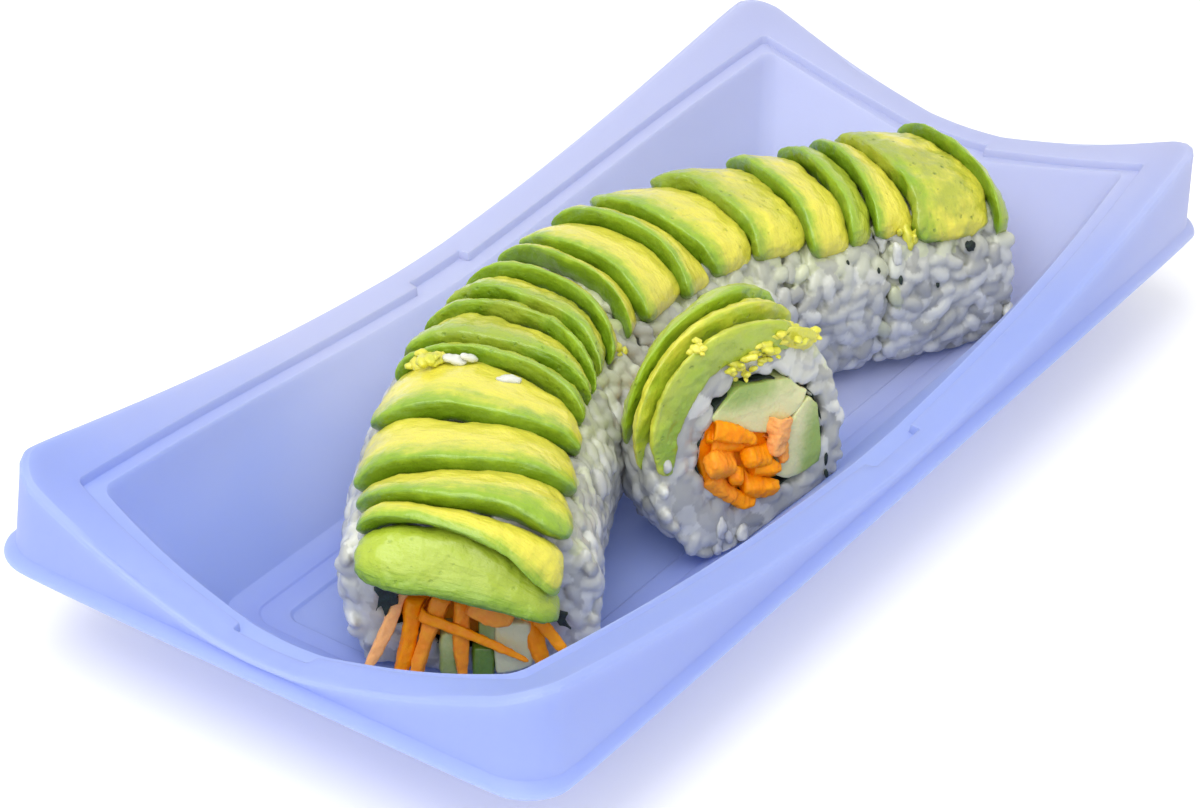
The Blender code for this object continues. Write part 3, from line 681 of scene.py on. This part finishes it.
def place_on_roll(position, degrees, lift):
    """Points at places along the arc and angles over it, lift millimetres above the rice."""
    position, degrees, lift = np.broadcast_arrays(position, degrees, lift)
    before = position < 0.0
    forward, drop, hung = over_the_cut(np.where(before, -position * PITCH, 0.0), lift)
    lift = np.where(before, hung, lift)
    angle = np.radians(degrees)
    right, up = ROLL[0].outline(angle)
    right = right + lift * np.cos(angle)
    up = up + np.where(before, drop, 0.0) + lift * np.sin(angle)
    forward = np.where(before, forward, 0.0)
    index = np.clip(position.astype(int), 0, len(ROLL) - 1)
    points = np.zeros(position.shape + (3,))
    for number, piece in enumerate(ROLL):
        here = index == number
        along = np.where(before, 0.0, position - number)
        points[here] = piece.place(along, right, up, forward)[here]
    return keep_in_well(points)


def front_edge(row, degrees):
    """Place along the roll of a slice's front edge: the parabola through its three places."""
    right, middle, left, low, high = row[:5]
    past_low, past_top, past_high = degrees - low, degrees - TOP_ANGLE, degrees - high
    return (
        right * past_top * past_high / ((low - TOP_ANGLE) * (low - high))
        + middle * past_low * past_high / ((TOP_ANGLE - low) * (TOP_ANGLE - high))
        + left * past_low * past_top / ((high - low) * (high - TOP_ANGLE))
    )


# Avocado


def lay_slice(number, finish, ends, thick, locate, yellow, pits, flesh=0.0):
    """One slice: a rod flattened to a slice's section, laid over the roll and rounded."""
    rows = 30
    made, side, row = stock(f"slice_{number}", len(SLICE_SECTION), rows)
    chance = np.random.default_rng(SEED * 100 + number)
    across = np.sin((row / rows - 0.5) * math.pi * 0.98) / math.sin(math.pi * 0.49)
    share, undercut, height, depth = np.array(SLICE_SECTION)[side].T
    round_end = np.sqrt(np.maximum(1.0 - np.abs(across) ** 14, 0.0))
    taper = (1.0 - 0.4 * np.abs(across) ** 3) * (0.12 + 0.88 * round_end)
    narrow = 0.15 + 0.9 * round_end
    phase = chance.uniform(0.0, 6.3, 3)
    wave = 0.03 * np.sin(3.1 * across + phase[0]) + 0.025 * np.sin(7.3 * across + phase[1])
    share = 0.5 + (share - 0.5) * narrow
    degrees = ends[0] + (ends[1] - ends[0]) * (across + 1.0) / 2.0
    points = locate(across, degrees, share + wave, undercut, height * thick * taper)
    move_corners(made.data, points * MM)
    paint(made, "depth", flesh + (1.0 - flesh) * depth)
    paint(made, "yellow", yellow)
    paint(made, "pits", pits)
    paint(made, "lengthwise", across * 0.02 + 0.1 * number)
    face_outwards(made)
    smooth(made, 2)
    roughen(made, 6.0, 0.45)
    roughen(made, 2.4, 0.1 + 0.32 * pits)
    roughen(made, 0.9, 0.05 + 0.05 * pits)
    keep(made, finish, "avocado", f"avocado_{number}")


def shape_run(first_number, table, finish):
    """The slices of one run along the arc, each from its own front edge to the next one's."""
    for number, (row, following) in enumerate(zip(table, table[1:]), first_number):
        reach = HANGING_UNDERCUT if number == 1 else SLICE_UNDERCUT

        def locate(across, degrees, share, undercut, height):
            front = front_edge(row, degrees)
            back = front_edge(following, degrees) - SLICE_GAP / PITCH
            depth = np.where(share > 0.3, SLICE_UNDERCUT, reach)
            position = front + (back - front) * share + depth / PITCH * undercut
            return place_on_roll(position, degrees, height + SLICE_LIFT)

        flesh = GREEN_FLESH if number == 1 else 0.0
        lay_slice(number, finish, row[3:5], SLICE_THICK, locate, *row[5:], flesh)


def shape_turned_slices(first_number, finish):
    for number, row in enumerate(TURNED_SLICES, first_number):
        front, back, low, high, thick, lift, fan, flesh, *tint = row

        def locate(across, degrees, share, undercut, height):
            along = front + (back - front - SLICE_GAP / TURNED_LENGTH) * share
            along = along + SLICE_UNDERCUT / TURNED_LENGTH * undercut + 0.06 * across**2
            along = along + fan * np.maximum(across, 0.0) ** 1.5
            angle = np.radians(degrees)
            right, up = TURNED.outline(angle)
            right = right + (height + lift) * np.cos(angle)
            up = up + (height + lift) * np.sin(angle)
            return TURNED.place(along, right, up)

        lay_slice(number, finish, (low, high), thick, locate, *tint, flesh)


# Rice


def grain_shapes(sizes):
    """Three grains, each a ball drawn out, flattened, blunted and bent, as corners and triangles."""
    shapes = []
    for bend, fat, flat in ((0.3, 1.0, 0.72), (0.6, 0.9, 0.85), (0.1, 1.1, 0.66)):
        deselect()
        bpy.ops.mesh.primitive_uv_sphere_add(segments=8, ring_count=6, radius=0.5)
        grain = bpy.context.object
        edit(bpy.ops.transform.resize, value=(fat, fat * flat, 1.0))
        edit(bpy.ops.mesh.quads_convert_to_tris)
        points = corners(grain.data)
        blunt = 1.0 + 0.22 * (np.abs(points[:, 2]) * 2.0) ** 2 * (np.abs(points[:, 2]) < 0.49)
        points[:, :2] *= blunt[:, None]
        points[:, 0] += bend * (points[:, 2] ** 2 - 0.1)
        points *= (sizes.grain_width, sizes.grain_width, sizes.grain_length)
        faces = np.array([list(face.vertices) for face in grain.data.polygons])
        shapes.append((points, faces))
        bpy.data.meshes.remove(grain.data)
    return shapes


def swell(core, piece, amount):
    """Push a core's outer sides and cut faces out by some millimetres, and leave its hole."""
    points = corners(core.data)
    ways = np.empty(len(points) * 3)
    core.data.vertices.foreach_get("normal", ways)
    ways = ways.reshape(-1, 3)
    middle = piece.place(0.5, 0.0, piece.hole_centre) * MM
    outside = np.sum((points - middle) * ways, axis=1) > 0.0
    move_corners(core.data, points + ways * (outside * amount * MM)[:, None])


def side_spots(number, piece, chance):
    """Random places on what shows of a piece's side: rows of place, way outwards and stain."""
    share = chance.uniform(0.03, 0.97, SIDE_SPOTS)
    angle = chance.uniform(-math.pi, math.pi, SIDE_SPOTS)
    step = 0.02
    over = piece.side(share, angle + step) - piece.side(share, angle - step)
    along = piece.side(share + step, angle) - piece.side(share - step, angle)
    normal = np.cross(over, along)
    normal /= np.linalg.norm(normal, axis=1)[:, None]
    stretch = np.linalg.norm(over, axis=1)
    even = chance.uniform(0.0, np.percentile(stretch, 98), SIDE_SPOTS) < stretch
    shown = even & ~covered(number, share, angle) & (np.sin(angle) > -0.93)
    stain = stained(number + share, np.degrees(angle))
    return np.column_stack([piece.side(share, angle), normal, stain])[shown]


def cut_spots(piece, share, outward, chance):
    """Random places on a cut face's ring of rice: rows of place, way outwards and stain."""
    angle = chance.uniform(-math.pi, math.pi, CUT_SPOTS)
    mix = np.sqrt(chance.uniform(0.0, 1.0, CUT_SPOTS))
    grow = 0.6
    if piece.turned and share == 0.0:
        degrees = np.degrees(angle) % 360.0
        shown = ~((mix > 0.5) & between(degrees, 56.0, 184.0))
        angle, mix, degrees = angle[shown], mix[shown], degrees[shown]
        grow = np.where(between(degrees, 140.0, 250.0), -1.3, 0.5)
    outline, hole = piece.outline(angle), piece.hole(angle, grow)
    right, up = (a * mix + b * (1.0 - mix) for a, b in zip(outline, hole))
    point = piece.place(share, right, up)
    normal = piece.place(share, right, up, outward) - point
    return np.column_stack([point, normal / np.linalg.norm(normal, axis=1)[:, None], angle * 0.0])


def spread(points, spacing):
    """Indexes of points that keep at least the given distance from one another."""
    kept = []
    chosen = np.empty((0, 3))
    for index, point in enumerate(points):
        if len(chosen) and np.min(np.sum((chosen - point) ** 2, axis=1)) < spacing**2:
            continue
        kept.append(index)
        chosen = np.vstack([chosen, point])
    return np.array(kept, int)


def lay_grains(spots, shapes, chance):
    """One mesh of grains lying at the given spots, with points along each grain and its tone."""
    vertices, faces, marks, tones, start = [], [], [], [], 0
    for point, normal in zip(spots[:, :3], spots[:, 3:6]):
        base, triangles = shapes[chance.integers(len(shapes))]
        guess = chance.normal(size=3)
        long_way = guess - normal * np.dot(guess, normal)
        long_way = long_way / np.linalg.norm(long_way) + normal * chance.uniform(-0.2, 0.2)
        long_way /= np.linalg.norm(long_way)
        wide_way = np.cross(normal, long_way)
        wide_way /= np.linalg.norm(wide_way)
        axes = np.stack([wide_way, np.cross(long_way, wide_way), long_way])
        size = chance.uniform(0.86, 1.1)
        centre = point + normal * chance.uniform(*SINK)
        vertices.append(base * size @ axes + centre)
        faces.append(triangles + start)
        marks += [centre - long_way * 1.6, centre, centre + long_way * 1.6]
        tones += [chance.uniform(0.0, 1.0)] * 3
        start += len(base)
    mesh = bpy.data.meshes.new("grains")
    mesh.from_pydata((np.vstack(vertices) * MM).tolist(), [], np.vstack(faces).tolist())
    grains = add("grains", mesh)
    face_outwards(grains)
    return grains, np.array(marks), np.array(tones)


def pull_in(mass):
    """Draw the low left corner of the front cut in."""
    points = corners(mass.data) / MM
    x, y, heading = SEAMS[0]
    sine, cosine = math.sin(math.radians(heading)), math.cos(math.radians(heading))
    behind = (points[:, 0] - x) * cosine + (points[:, 1] - y) * sine
    right = (points[:, 0] - x) * sine - (points[:, 1] - y) * cosine
    left, near, low = (-right - 8.0) / 12.0, 1.0 - behind / 16.0, (19.0 - points[:, 2]) / 12.0
    share = np.clip(left, 0.0, 1.0) * np.clip(near, 0.0, 1.0) * np.clip(low, 0.0, 1.0)
    points[:, 0] += CORNER_PULL * share * sine
    points[:, 1] -= CORNER_PULL * share * cosine
    move_corners(mass.data, points * MM)


def nearest_marks(points, marks):
    """For each point, the index of the nearest mark."""
    tree = KDTree(len(marks))
    for index, mark in enumerate(marks):
        tree.insert(mark, index)
    tree.balance()
    return np.array([tree.find(point)[1] for point in points])


def covered(number, share, angle):
    """True where the slices hide the side of a piece."""
    degrees = np.degrees(angle) % 360.0
    if number == len(ROLL):
        return between(degrees, *TURNED_HIDDEN) & (share < 0.9)
    return between(degrees, *ROLL_HIDDEN) & ~between(number + share, *BARE_GAP)


def stained(position, degrees):
    """How green the juice of the slices has made the rice below them, and at the last seam."""
    below = np.clip((degrees - 22.0) / 24.0, 0.0, 1.0) * (degrees < 90.0)
    seam = between(position, *STAINED_SEAM) & between(degrees, -30.0, 60.0)
    return np.maximum(0.8 * below, 0.9 * seam)


def size_property(name, description, default):
    return bpy.props.FloatProperty(name=name, description=description, default=default, min=1.0)


def colour_property(name, description, default):
    return bpy.props.FloatVectorProperty(
        name=name, description=description, default=default, subtype="COLOR", size=3, min=0.0, max=1.0
    )


class SizesOfFood(bpy.types.PropertyGroup):
    """Sizes of what repeats in the roll."""

    grain_length: size_property("Grain length", "Length of a rice grain, in millimetres", 4.9)
    grain_width: size_property("Grain width", "Width of a rice grain, in millimetres", 3.25)
    grain_spacing: size_property("Grain spacing", "Least distance between two grains, in millimetres", 2.15)


class ColoursOfTray(bpy.types.PropertyGroup):
    """Colours of the tray and of the food in it."""

    plastic: colour_property("Plastic", "Frosted plastic of the tray", (0.34, 0.42, 0.87))
    # Painted backlight: paler plastic painted towards the back wall and the far end, standing in for light
    # through the walls
    plastic_painted_backlit: colour_property("Pale plastic", "Plastic where it is hazy", (0.54, 0.57, 0.86))
    rice: colour_property("Rice", "White of a grain", (0.68, 0.69, 0.62))
    rice_grey: colour_property("Clear rice", "Grain that lets the light through", (0.38, 0.385, 0.345))
    rice_stained: colour_property("Stained rice", "Rice with the juice of avocado on it", (0.5, 0.55, 0.2))
    nori: colour_property("Nori", "Dark of the seaweed", (0.006, 0.011, 0.008))
    nori_green: colour_property("Green nori", "Green of the seaweed", (0.02, 0.045, 0.022))
    carrot: colour_property("Carrot", "Orange of the carrot", (1.0, 0.37, 0.0))
    carrot_deep: colour_property("Deep carrot", "Wet, darker carrot", (0.96, 0.27, 0.0))
    carrot_pale: colour_property("Pale carrot", "Dry carrot at a shred's tip", (1.0, 0.48, 0.17))
    cucumber: colour_property("Cucumber", "Green flesh", (0.31, 0.44, 0.09))
    cucumber_pale: colour_property("Pale cucumber", "Pale flesh", (0.72, 0.71, 0.36))
    cucumber_skin: colour_property("Cucumber skin", "Green skin", (0.13, 0.25, 0.016))
    avocado_rim: colour_property("Avocado rim", "Dark green under the skin", (0.12, 0.235, 0.004))
    avocado: colour_property("Avocado", "Green flesh", (0.27, 0.44, 0.014))
    avocado_olive: colour_property("Olive avocado", "Bruised flesh", (0.36, 0.42, 0.04))
    avocado_light: colour_property("Light avocado", "Light green flesh", (0.42, 0.54, 0.035))
    avocado_yellow: colour_property("Yellow avocado", "Yellow flesh by the stone", (0.78, 0.71, 0.07))


class LightOfStudio(bpy.types.PropertyGroup):
    """Floor and light of the studio."""

    floor: colour_property("Floor", "Colour of the floor", (0.95, 0.95, 0.95))
    key: bpy.props.FloatProperty(
        name="Key light", description="Strength of the large light above", default=5.6, min=0.0, unit="POWER"
    )
    sky: bpy.props.FloatProperty(
        name="Sky light", description="Strength of the light from all round", default=0.78, min=0.0
    )


class SUSHI_OT_tray(bpy.types.Operator):
    """Round the tray's edges and give it its frosted plastic"""

    bl_idname = "sushi.tray"
    bl_label = "Tray"

    def execute(self, context):
        tray = copy_of_node("tray", "frosted_tray")
        apart = math.radians(60)
        edit(bpy.ops.mesh.tris_convert_to_quads, face_threshold=apart, shape_threshold=apart)
        soften(tray, 0.35, 18)
        smooth(tray, 2)
        keep(tray, plastic_finish(context.scene.tray_colours), "frosted_plastic", "tray")
        return {"FINISHED"}


class SUSHI_OT_rice(bpy.types.Operator):
    """Lay rice grains over every side and cut face that shows"""

    bl_idname = "sushi.rice"
    bl_label = "Rice"

    def execute(self, context):
        sizes = context.scene.food_sizes
        finish = rice_finish(context.scene.tray_colours)
        shapes = grain_shapes(sizes)
        for number, piece in enumerate(PIECES):
            chance = np.random.default_rng(SEED + number)
            core = copy_of_node(f"rice_{number + 1}", f"rice_core_{number + 1}")
            smooth(core, 1)
            swell(core, piece, SWELL)
            spots = [side_spots(number, piece, chance)]
            for end, outward, opened in ((0.0, 1.0, number in (0, 7)), (1.0, -1.0, number in (6, 7))):
                if opened:
                    spots.append(cut_spots(piece, end, outward, chance))
            spots = np.vstack(spots)
            spots = spots[spots[:, 2] > LOWEST_GRAIN]
            spots = spots[spread(spots[:, :3], sizes.grain_spacing)]
            grains, marks, tones = lay_grains(spots, shapes, chance)
            mass = join([core, grains], f"sticky_rice_{number + 1}")
            fuse(mass, VOXEL)
            if number == 0:
                pull_in(mass)
            move_corners(mass.data, keep_in_well(corners(mass.data) / MM) * MM)
            nearest = nearest_marks(corners(mass.data) / MM, marks)
            paint(mass, "tone", tones[nearest])
            paint(mass, "stain", np.repeat(spots[:, 6], 3)[nearest] * tones[nearest])
            keep(mass, finish, "rice", f"rice_{number + 1}")
        return {"FINISHED"}


class SUSHI_OT_nori(bpy.types.Operator):
    """Shape the seaweed that lines the holes of the pieces whose cuts show, and give the other pieces'
    seaweed its finish
    """

    bl_idname = "sushi.nori"
    bl_label = "Nori"

    def execute(self, context):
        finish = nori_finish(context.scene.tray_colours)
        for number, piece in enumerate(PIECES, 1):
            if number in (1, 7, 8):
                made = shape_nori(number, piece)
                if number == 1:
                    flaps = ((LEFT_FLAP, 3.4, 2.6), (RIGHT_FLAP, 2.8, 2.0))
                    made = join([made] + [shape_stub(piece, *flap, 0.12) for flap in flaps], made.name)
                keep(made, finish, "nori", f"nori_{number}")
            else:
                dress(f"nori_{number}", finish)
        return {"FINISHED"}


def shape_nori(number, piece):
    """A thin ring of seaweed that wanders a little and stands ragged out of the cut."""
    around, deep = 72, 6
    sheet, side, row = stock(f"nori_ring_{number}", around, 2 * deep + 1)
    chance = np.random.default_rng(SEED + 50 + number)
    angle = (side / around * 2.0 - 1.0) * math.pi
    ragged = chance.uniform(0.0, 0.9, around)[side] + (3.0 * (side % around < 7) if number == 1 else 0.0)
    inside = row > deep
    share = np.where(inside, 2 * deep + 1 - row, row) / deep
    wander = 0.35 * np.sin(3 * angle + number) + 0.25 * np.sin(7 * angle + 2.0 * number)
    wander = wander + chance.uniform(-0.25, 0.25, around)[side]
    if piece.turned:
        wander += 12.0 * (np.interp(angle, np.linspace(-math.pi, math.pi, 15), TURNED_NORI) - 1.0)
    grow = -0.2 + 0.6 * wander - np.where(inside, 0.3, 0.0)
    points = piece.place(share, *piece.hole(angle, grow))
    front = piece.place(0.0, *piece.hole(angle, grow), 1.0) - piece.place(0.0, *piece.hole(angle, grow))
    stands = np.where(share < 0.01, ragged, 0.0) - np.where(share > 0.99, ragged * 0.6, 0.0)
    move_corners(sheet.data, (points + front * stands[:, None]) * MM)
    hold(sheet)
    select_only(sheet.data, "polygons", lambda face: len(face.vertices) > 4)
    edit(bpy.ops.mesh.bridge_edge_loops, False)
    face_outwards(sheet)
    smooth(sheet, 1)
    return sheet


def shape_shred(name, piece, route, width, chance, far=False):
    """A shred along a route of (right, up, forward) points from the near cut, or the far one."""
    sides, rows = 8, 18
    shred, side, row = stock(name, sides, rows)
    root, start, end = np.array(route, float)
    share = row / rows
    past = np.clip((share - 0.3) / 0.7, 0.0, 1.0)[:, None]
    before = np.clip(share / 0.3, 0.0, 1.0)[:, None]
    centre = root + (start - root) * before + (end - start) * past
    way = (end - start) / np.linalg.norm(end - start)
    flat = np.cross(way, (0.3, 0.4, 0.86))
    flat /= np.linalg.norm(flat)
    other = np.cross(way, flat)
    bow = chance.uniform(-0.5, 0.5, 2)
    centre = centre + (flat * bow[0] + other * bow[1]) * np.sin(past * math.pi)
    twist = 2 * math.pi * side / sides
    square = np.maximum(np.abs(np.cos(twist)), np.abs(np.sin(twist))) ** -0.95
    turn = twist + chance.uniform(-0.7, 0.7) * share
    tip = np.clip(np.minimum(row, rows - row), 0.0, 1.0)
    wobble = 1.0 + 0.12 * np.sin(9.0 * share + chance.uniform(0, 6)) * share
    slim = chance.uniform(0.25, 0.65)
    radius = width / 2 * square * (0.75 + 0.25 * tip) * wobble * (1.0 - slim * past[:, 0] ** 2)
    offset = flat * (radius * np.cos(turn))[:, None] + other * (0.8 * radius * np.sin(turn))[:, None]
    right, up, forward = (centre + offset).T
    if far:
        points = piece.place(1.0, right, up + piece.hole_centre - TURNED_HOLE_CENTRE, -forward)
    else:
        points = piece.place(0.0, right, up, forward)
    move_corners(shred.data, keep_in_well(points) * MM)
    face_outwards(shred)
    smooth(shred, 2)
    roughen(shred, 1.4, 0.2)
    roughen(shred, 0.6, 0.08)
    return shred


def shape_bar(name, piece, outline, share, forward, edge, lumps):
    """A bar with the given outline: for each of its rows, the share of the piece and how far forward."""
    outline = np.array(outline)
    bar, side, row = stock(name, len(outline), len(forward) - 1)
    right, up = outline[side, :2].T
    points = piece.place(share[row], right, up + piece.hole_centre, forward[row])
    move_corners(bar.data, keep_in_well(points) * MM)
    if outline.shape[1] > 2:
        paint(bar, "skin", outline[side, 2])
    face_outwards(bar)
    soften(bar, edge)
    smooth(bar, 2)
    roughen(bar, *lumps)
    return bar


def shape_baton(name, piece, outline, forward, first=0.0):
    """A baton through a piece along its filling."""
    share = first + (1.0 - first) * BATON_ROWS
    return shape_bar(name, piece, outline, share, forward * (BATON_ROWS == 0.0), 0.5, (2.5, 0.3))


def shape_stub(piece, outline, near, far, edge):
    """A short end of something that stands out of the front cut, from far to near millimetres."""
    row = np.arange(STUB_ROWS + 1)
    forward = near + (far - near) * row / STUB_ROWS
    return shape_bar("stub", piece, outline, row * 0.0, forward, edge, (2.2, 0.3))


class SUSHI_OT_carrots(bpy.types.Operator):
    """Shape the carrot shreds at the cuts that show"""

    bl_idname = "sushi.carrots"
    bl_label = "Carrots"

    def execute(self, context):
        finish = carrot_finish(context.scene.tray_colours)
        for number, piece in enumerate(PIECES, 1):
            near = {1: FRONT_SHREDS, 8: TURNED_SHREDS}.get(number, ())
            far = TURNED_SHREDS if number in (7, 8) else ()
            if not near and not far:
                dress(f"carrot_{number}", finish)
                continue
            chance = np.random.default_rng(SEED + 20 + number)
            made = []
            rows = [(*row, False) for row in near] + [(*row, True) for row in far]
            for index, (start, end, width, pale, behind) in enumerate(rows):
                middle = TURNED_HOLE_CENTRE if behind else piece.hole_centre
                route = ((start[0] * 0.6, middle - 2.5, -6.0), start, end)
                shred = shape_shred(f"carrot_{number}_{index}", piece, route, width, chance, behind)
                paint(shred, "pale", pale)
                if piece.turned:
                    roughen(shred, 1.6, 0.25 + 0.25 * pale)
                made.append(shred)
            core = shape_baton(f"carrot_core_{number}", piece, CARROT_CORE, 0.0, first=0.03)
            paint(core, "pale", 0.0)
            keep(join(made + [core], f"carrot_bundle_{number}"), finish, "carrot", f"carrot_{number}")
        return {"FINISHED"}


class SUSHI_OT_cucumber(bpy.types.Operator):
    """Shape the cucumber batons that run through the pieces"""

    bl_idname = "sushi.cucumber"
    bl_label = "Cucumber"

    def execute(self, context):
        finish = cucumber_finish(context.scene.tray_colours)
        for number, piece in enumerate(PIECES, 1):
            outline = {1: FRONT_SLAB, 8: TURNED_SLAB}.get(number, BACK_SLAB)
            forward = {1: 3.0, 8: 1.0}.get(number, 0.0)
            made = shape_baton(f"cucumber_slab_{number}", piece, outline, forward)
            if number == 1:
                stubs = [shape_stub(piece, *stub, STUB_ROOT, 0.8) for stub in FRONT_STUBS]
                made = join([made] + stubs, made.name)
            keep(made, finish, "cucumber", f"cucumber_{number}")
        for number, outline in ((1, BACK_BATON), (8, TURNED_BATON)):
            made = shape_baton(f"cucumber_baton_{number}", PIECES[number - 1], outline, 0.9)
            keep(made, finish, "cucumber", f"cucumber_{number}b")
        return {"FINISHED"}


class SUSHI_OT_avocado(bpy.types.Operator):
    """Lay the avocado slices over the roll and the turned piece"""

    bl_idname = "sushi.avocado"
    bl_label = "Avocado"

    def execute(self, context):
        finish = avocado_finish(context.scene.tray_colours)
        shape_run(1, FRONT_SLICES, finish)
        shape_run(11, BACK_SLICES, finish)
        shape_turned_slices(21, finish)
        return {"FINISHED"}


def shape_bits(name, table, finish, slot, marks, broken):
    """Small loose bits, joined, each broken into some lumps and marked for its finish."""
    chance = np.random.default_rng(SEED + 70)
    made = []
    for x, y, z, long, wide, thick, heading, tilt in table:
        for part in range(broken):
            shift = chance.uniform(-0.55, 0.55, 3) * (long, wide, thick) * (part > 0)
            size = chance.uniform(0.35, 0.7) if part else 0.8
            deselect()
            place = (np.array([x, y, z]) + shift) * MM
            turn = (math.radians(tilt), 0.0, math.radians(heading) + chance.uniform(0.0, 3.0) * part)
            bpy.ops.mesh.primitive_ico_sphere_add(subdivisions=3, radius=0.5, location=place, rotation=turn)
            bit = bpy.context.object
            bit.scale = np.array([wide, long, thick]) * size * MM
            bpy.ops.object.transform_apply()
            roughen(bit, 1.5, 0.14 * wide)
            roughen(bit, 0.7, 0.09 * wide)
            bpy.ops.object.shade_smooth()
            for mark, value in marks.items():
                paint(bit, mark, value)
            made.append(bit)
    keep(join(made, name), finish, slot)


class SUSHI_OT_crumbs(bpy.types.Operator):
    """Scatter the loose grains, crumbs of avocado and flecks of seaweed"""

    bl_idname = "sushi.crumbs"
    bl_label = "Loose crumbs"

    def execute(self, context):
        flesh, rice, nori = (
            bpy.data.objects[name].active_material for name in ("slice_1", "sticky_rice_1", "nori_ring_1")
        )
        ripe = {"depth": 0.6, "yellow": 0.55, "pits": 0.0, "lengthwise": 0.0}
        shape_bits("avocado_crumbs", AVOCADO_CRUMBS, flesh, "avocado", ripe, 6)
        shape_bits("loose_rice", LOOSE_GRAINS, rice, "rice", {"tone": 0.9, "stain": 0.0}, 1)
        shape_bits("nori_flecks", NORI_FLECKS, nori, "nori", {}, 1)
        return {"FINISHED"}


class SUSHI_OT_studio(bpy.types.Operator):
    """Set the floor, the soft light and the camera"""

    bl_idname = "sushi.studio"
    bl_label = "Studio"

    def execute(self, context):
        light = context.scene.studio_light
        make_floor(light)
        make_light("key", (-0.35, 0.1, 0.9), 0.8, light.key)
        make_light("fill", (-0.75, -0.35, 0.55), 0.7, light.key * 0.45)
        world = bpy.data.worlds.new("soft_sky")
        world.use_nodes = True
        sky = world.node_tree.nodes["Background"]
        sky.inputs["Color"].default_value = (1.0, 1.0, 1.0, 1.0)
        sky.inputs["Strength"].default_value = light.sky
        context.scene.world = world
        context.scene.view_settings.view_transform = "Standard"
        make_camera(context.scene)
        return {"FINISHED"}


def make_floor(light):
    deselect()
    bpy.ops.mesh.primitive_plane_add(size=6.0)
    floor = bpy.context.object
    floor.name = "studio_floor"
    glow = {"Emission_Color": (1.0, 1.0, 1.0, 1.0), "Emission_Strength": 0.14}
    made = Finish("studio_floor", Roughness=0.8, **glow)
    dim = [value * 0.98 for value in light.floor]
    made.feed("Base Color", made.blend(made.noise(0.4, 2.0, 0.5), dim, light.floor))
    floor.data.materials.append(made.material)


def make_light(name, place, size, power):
    data = bpy.data.lights.new(name, "AREA")
    data.energy = power
    data.size = size
    lamp = add(name, data)
    lamp.location = place
    lamp.rotation_euler = (-Vector(place)).to_track_quat("-Z", "Y").to_euler()


def make_camera(scene):
    data = bpy.data.cameras.new("photo_view")
    data.lens = CAMERA_LENS
    data.shift_x, data.shift_y = CAMERA_SHIFT
    data.clip_start = 0.01
    camera = add("photo_view", data)
    axes = [CAMERA_RIGHT, [-value for value in CAMERA_DOWN], [-value for value in CAMERA_FORWARD]]
    turn = Matrix(axes).transposed()
    camera.matrix_world = Matrix.Translation(CAMERA_PLACE) @ turn.to_4x4()
    scene.camera = camera


class SUSHI_PT_tray(bpy.types.Panel):
    """Lists the pieces of the tray and their sizes and colours"""

    bl_idname = "SUSHI_PT_tray"
    bl_label = "Sushi Tray"
    bl_space_type = "VIEW_3D"
    bl_region_type = "UI"
    bl_category = "Sushi Tray"

    def draw(self, context):
        for operator in OPERATORS:
            self.layout.operator(operator.bl_idname)
        for group in (getattr(context.scene, name) for name in GROUPS):
            for name in group.bl_rna.properties.keys():
                if name not in ("name", "rna_type"):
                    self.layout.prop(group, name)


OPERATORS = (
    SUSHI_OT_tray, SUSHI_OT_rice, SUSHI_OT_nori, SUSHI_OT_carrots,
    SUSHI_OT_cucumber, SUSHI_OT_avocado, SUSHI_OT_crumbs, SUSHI_OT_studio,
)
GROUPS = {"food_sizes": SizesOfFood, "tray_colours": ColoursOfTray, "studio_light": LightOfStudio}
CLASSES = (*GROUPS.values(), *OPERATORS, SUSHI_PT_tray)


def register():
    for item in CLASSES:
        bpy.utils.register_class(item)
    for name, group in GROUPS.items():
        setattr(bpy.types.Scene, name, bpy.props.PointerProperty(type=group))


def unregister():
    for name in GROUPS:
        delattr(bpy.types.Scene, name)
    for item in reversed(CLASSES):
        bpy.utils.unregister_class(item)


def main():
    register()
    bpy.ops.sushi.tray()
    bpy.ops.sushi.rice()
    bpy.ops.sushi.nori()
    bpy.ops.sushi.carrots()
    bpy.ops.sushi.cucumber()
    bpy.ops.sushi.avocado()
    bpy.ops.sushi.crumbs()
    bpy.ops.sushi.studio()


if __name__ == "__main__":
    main()
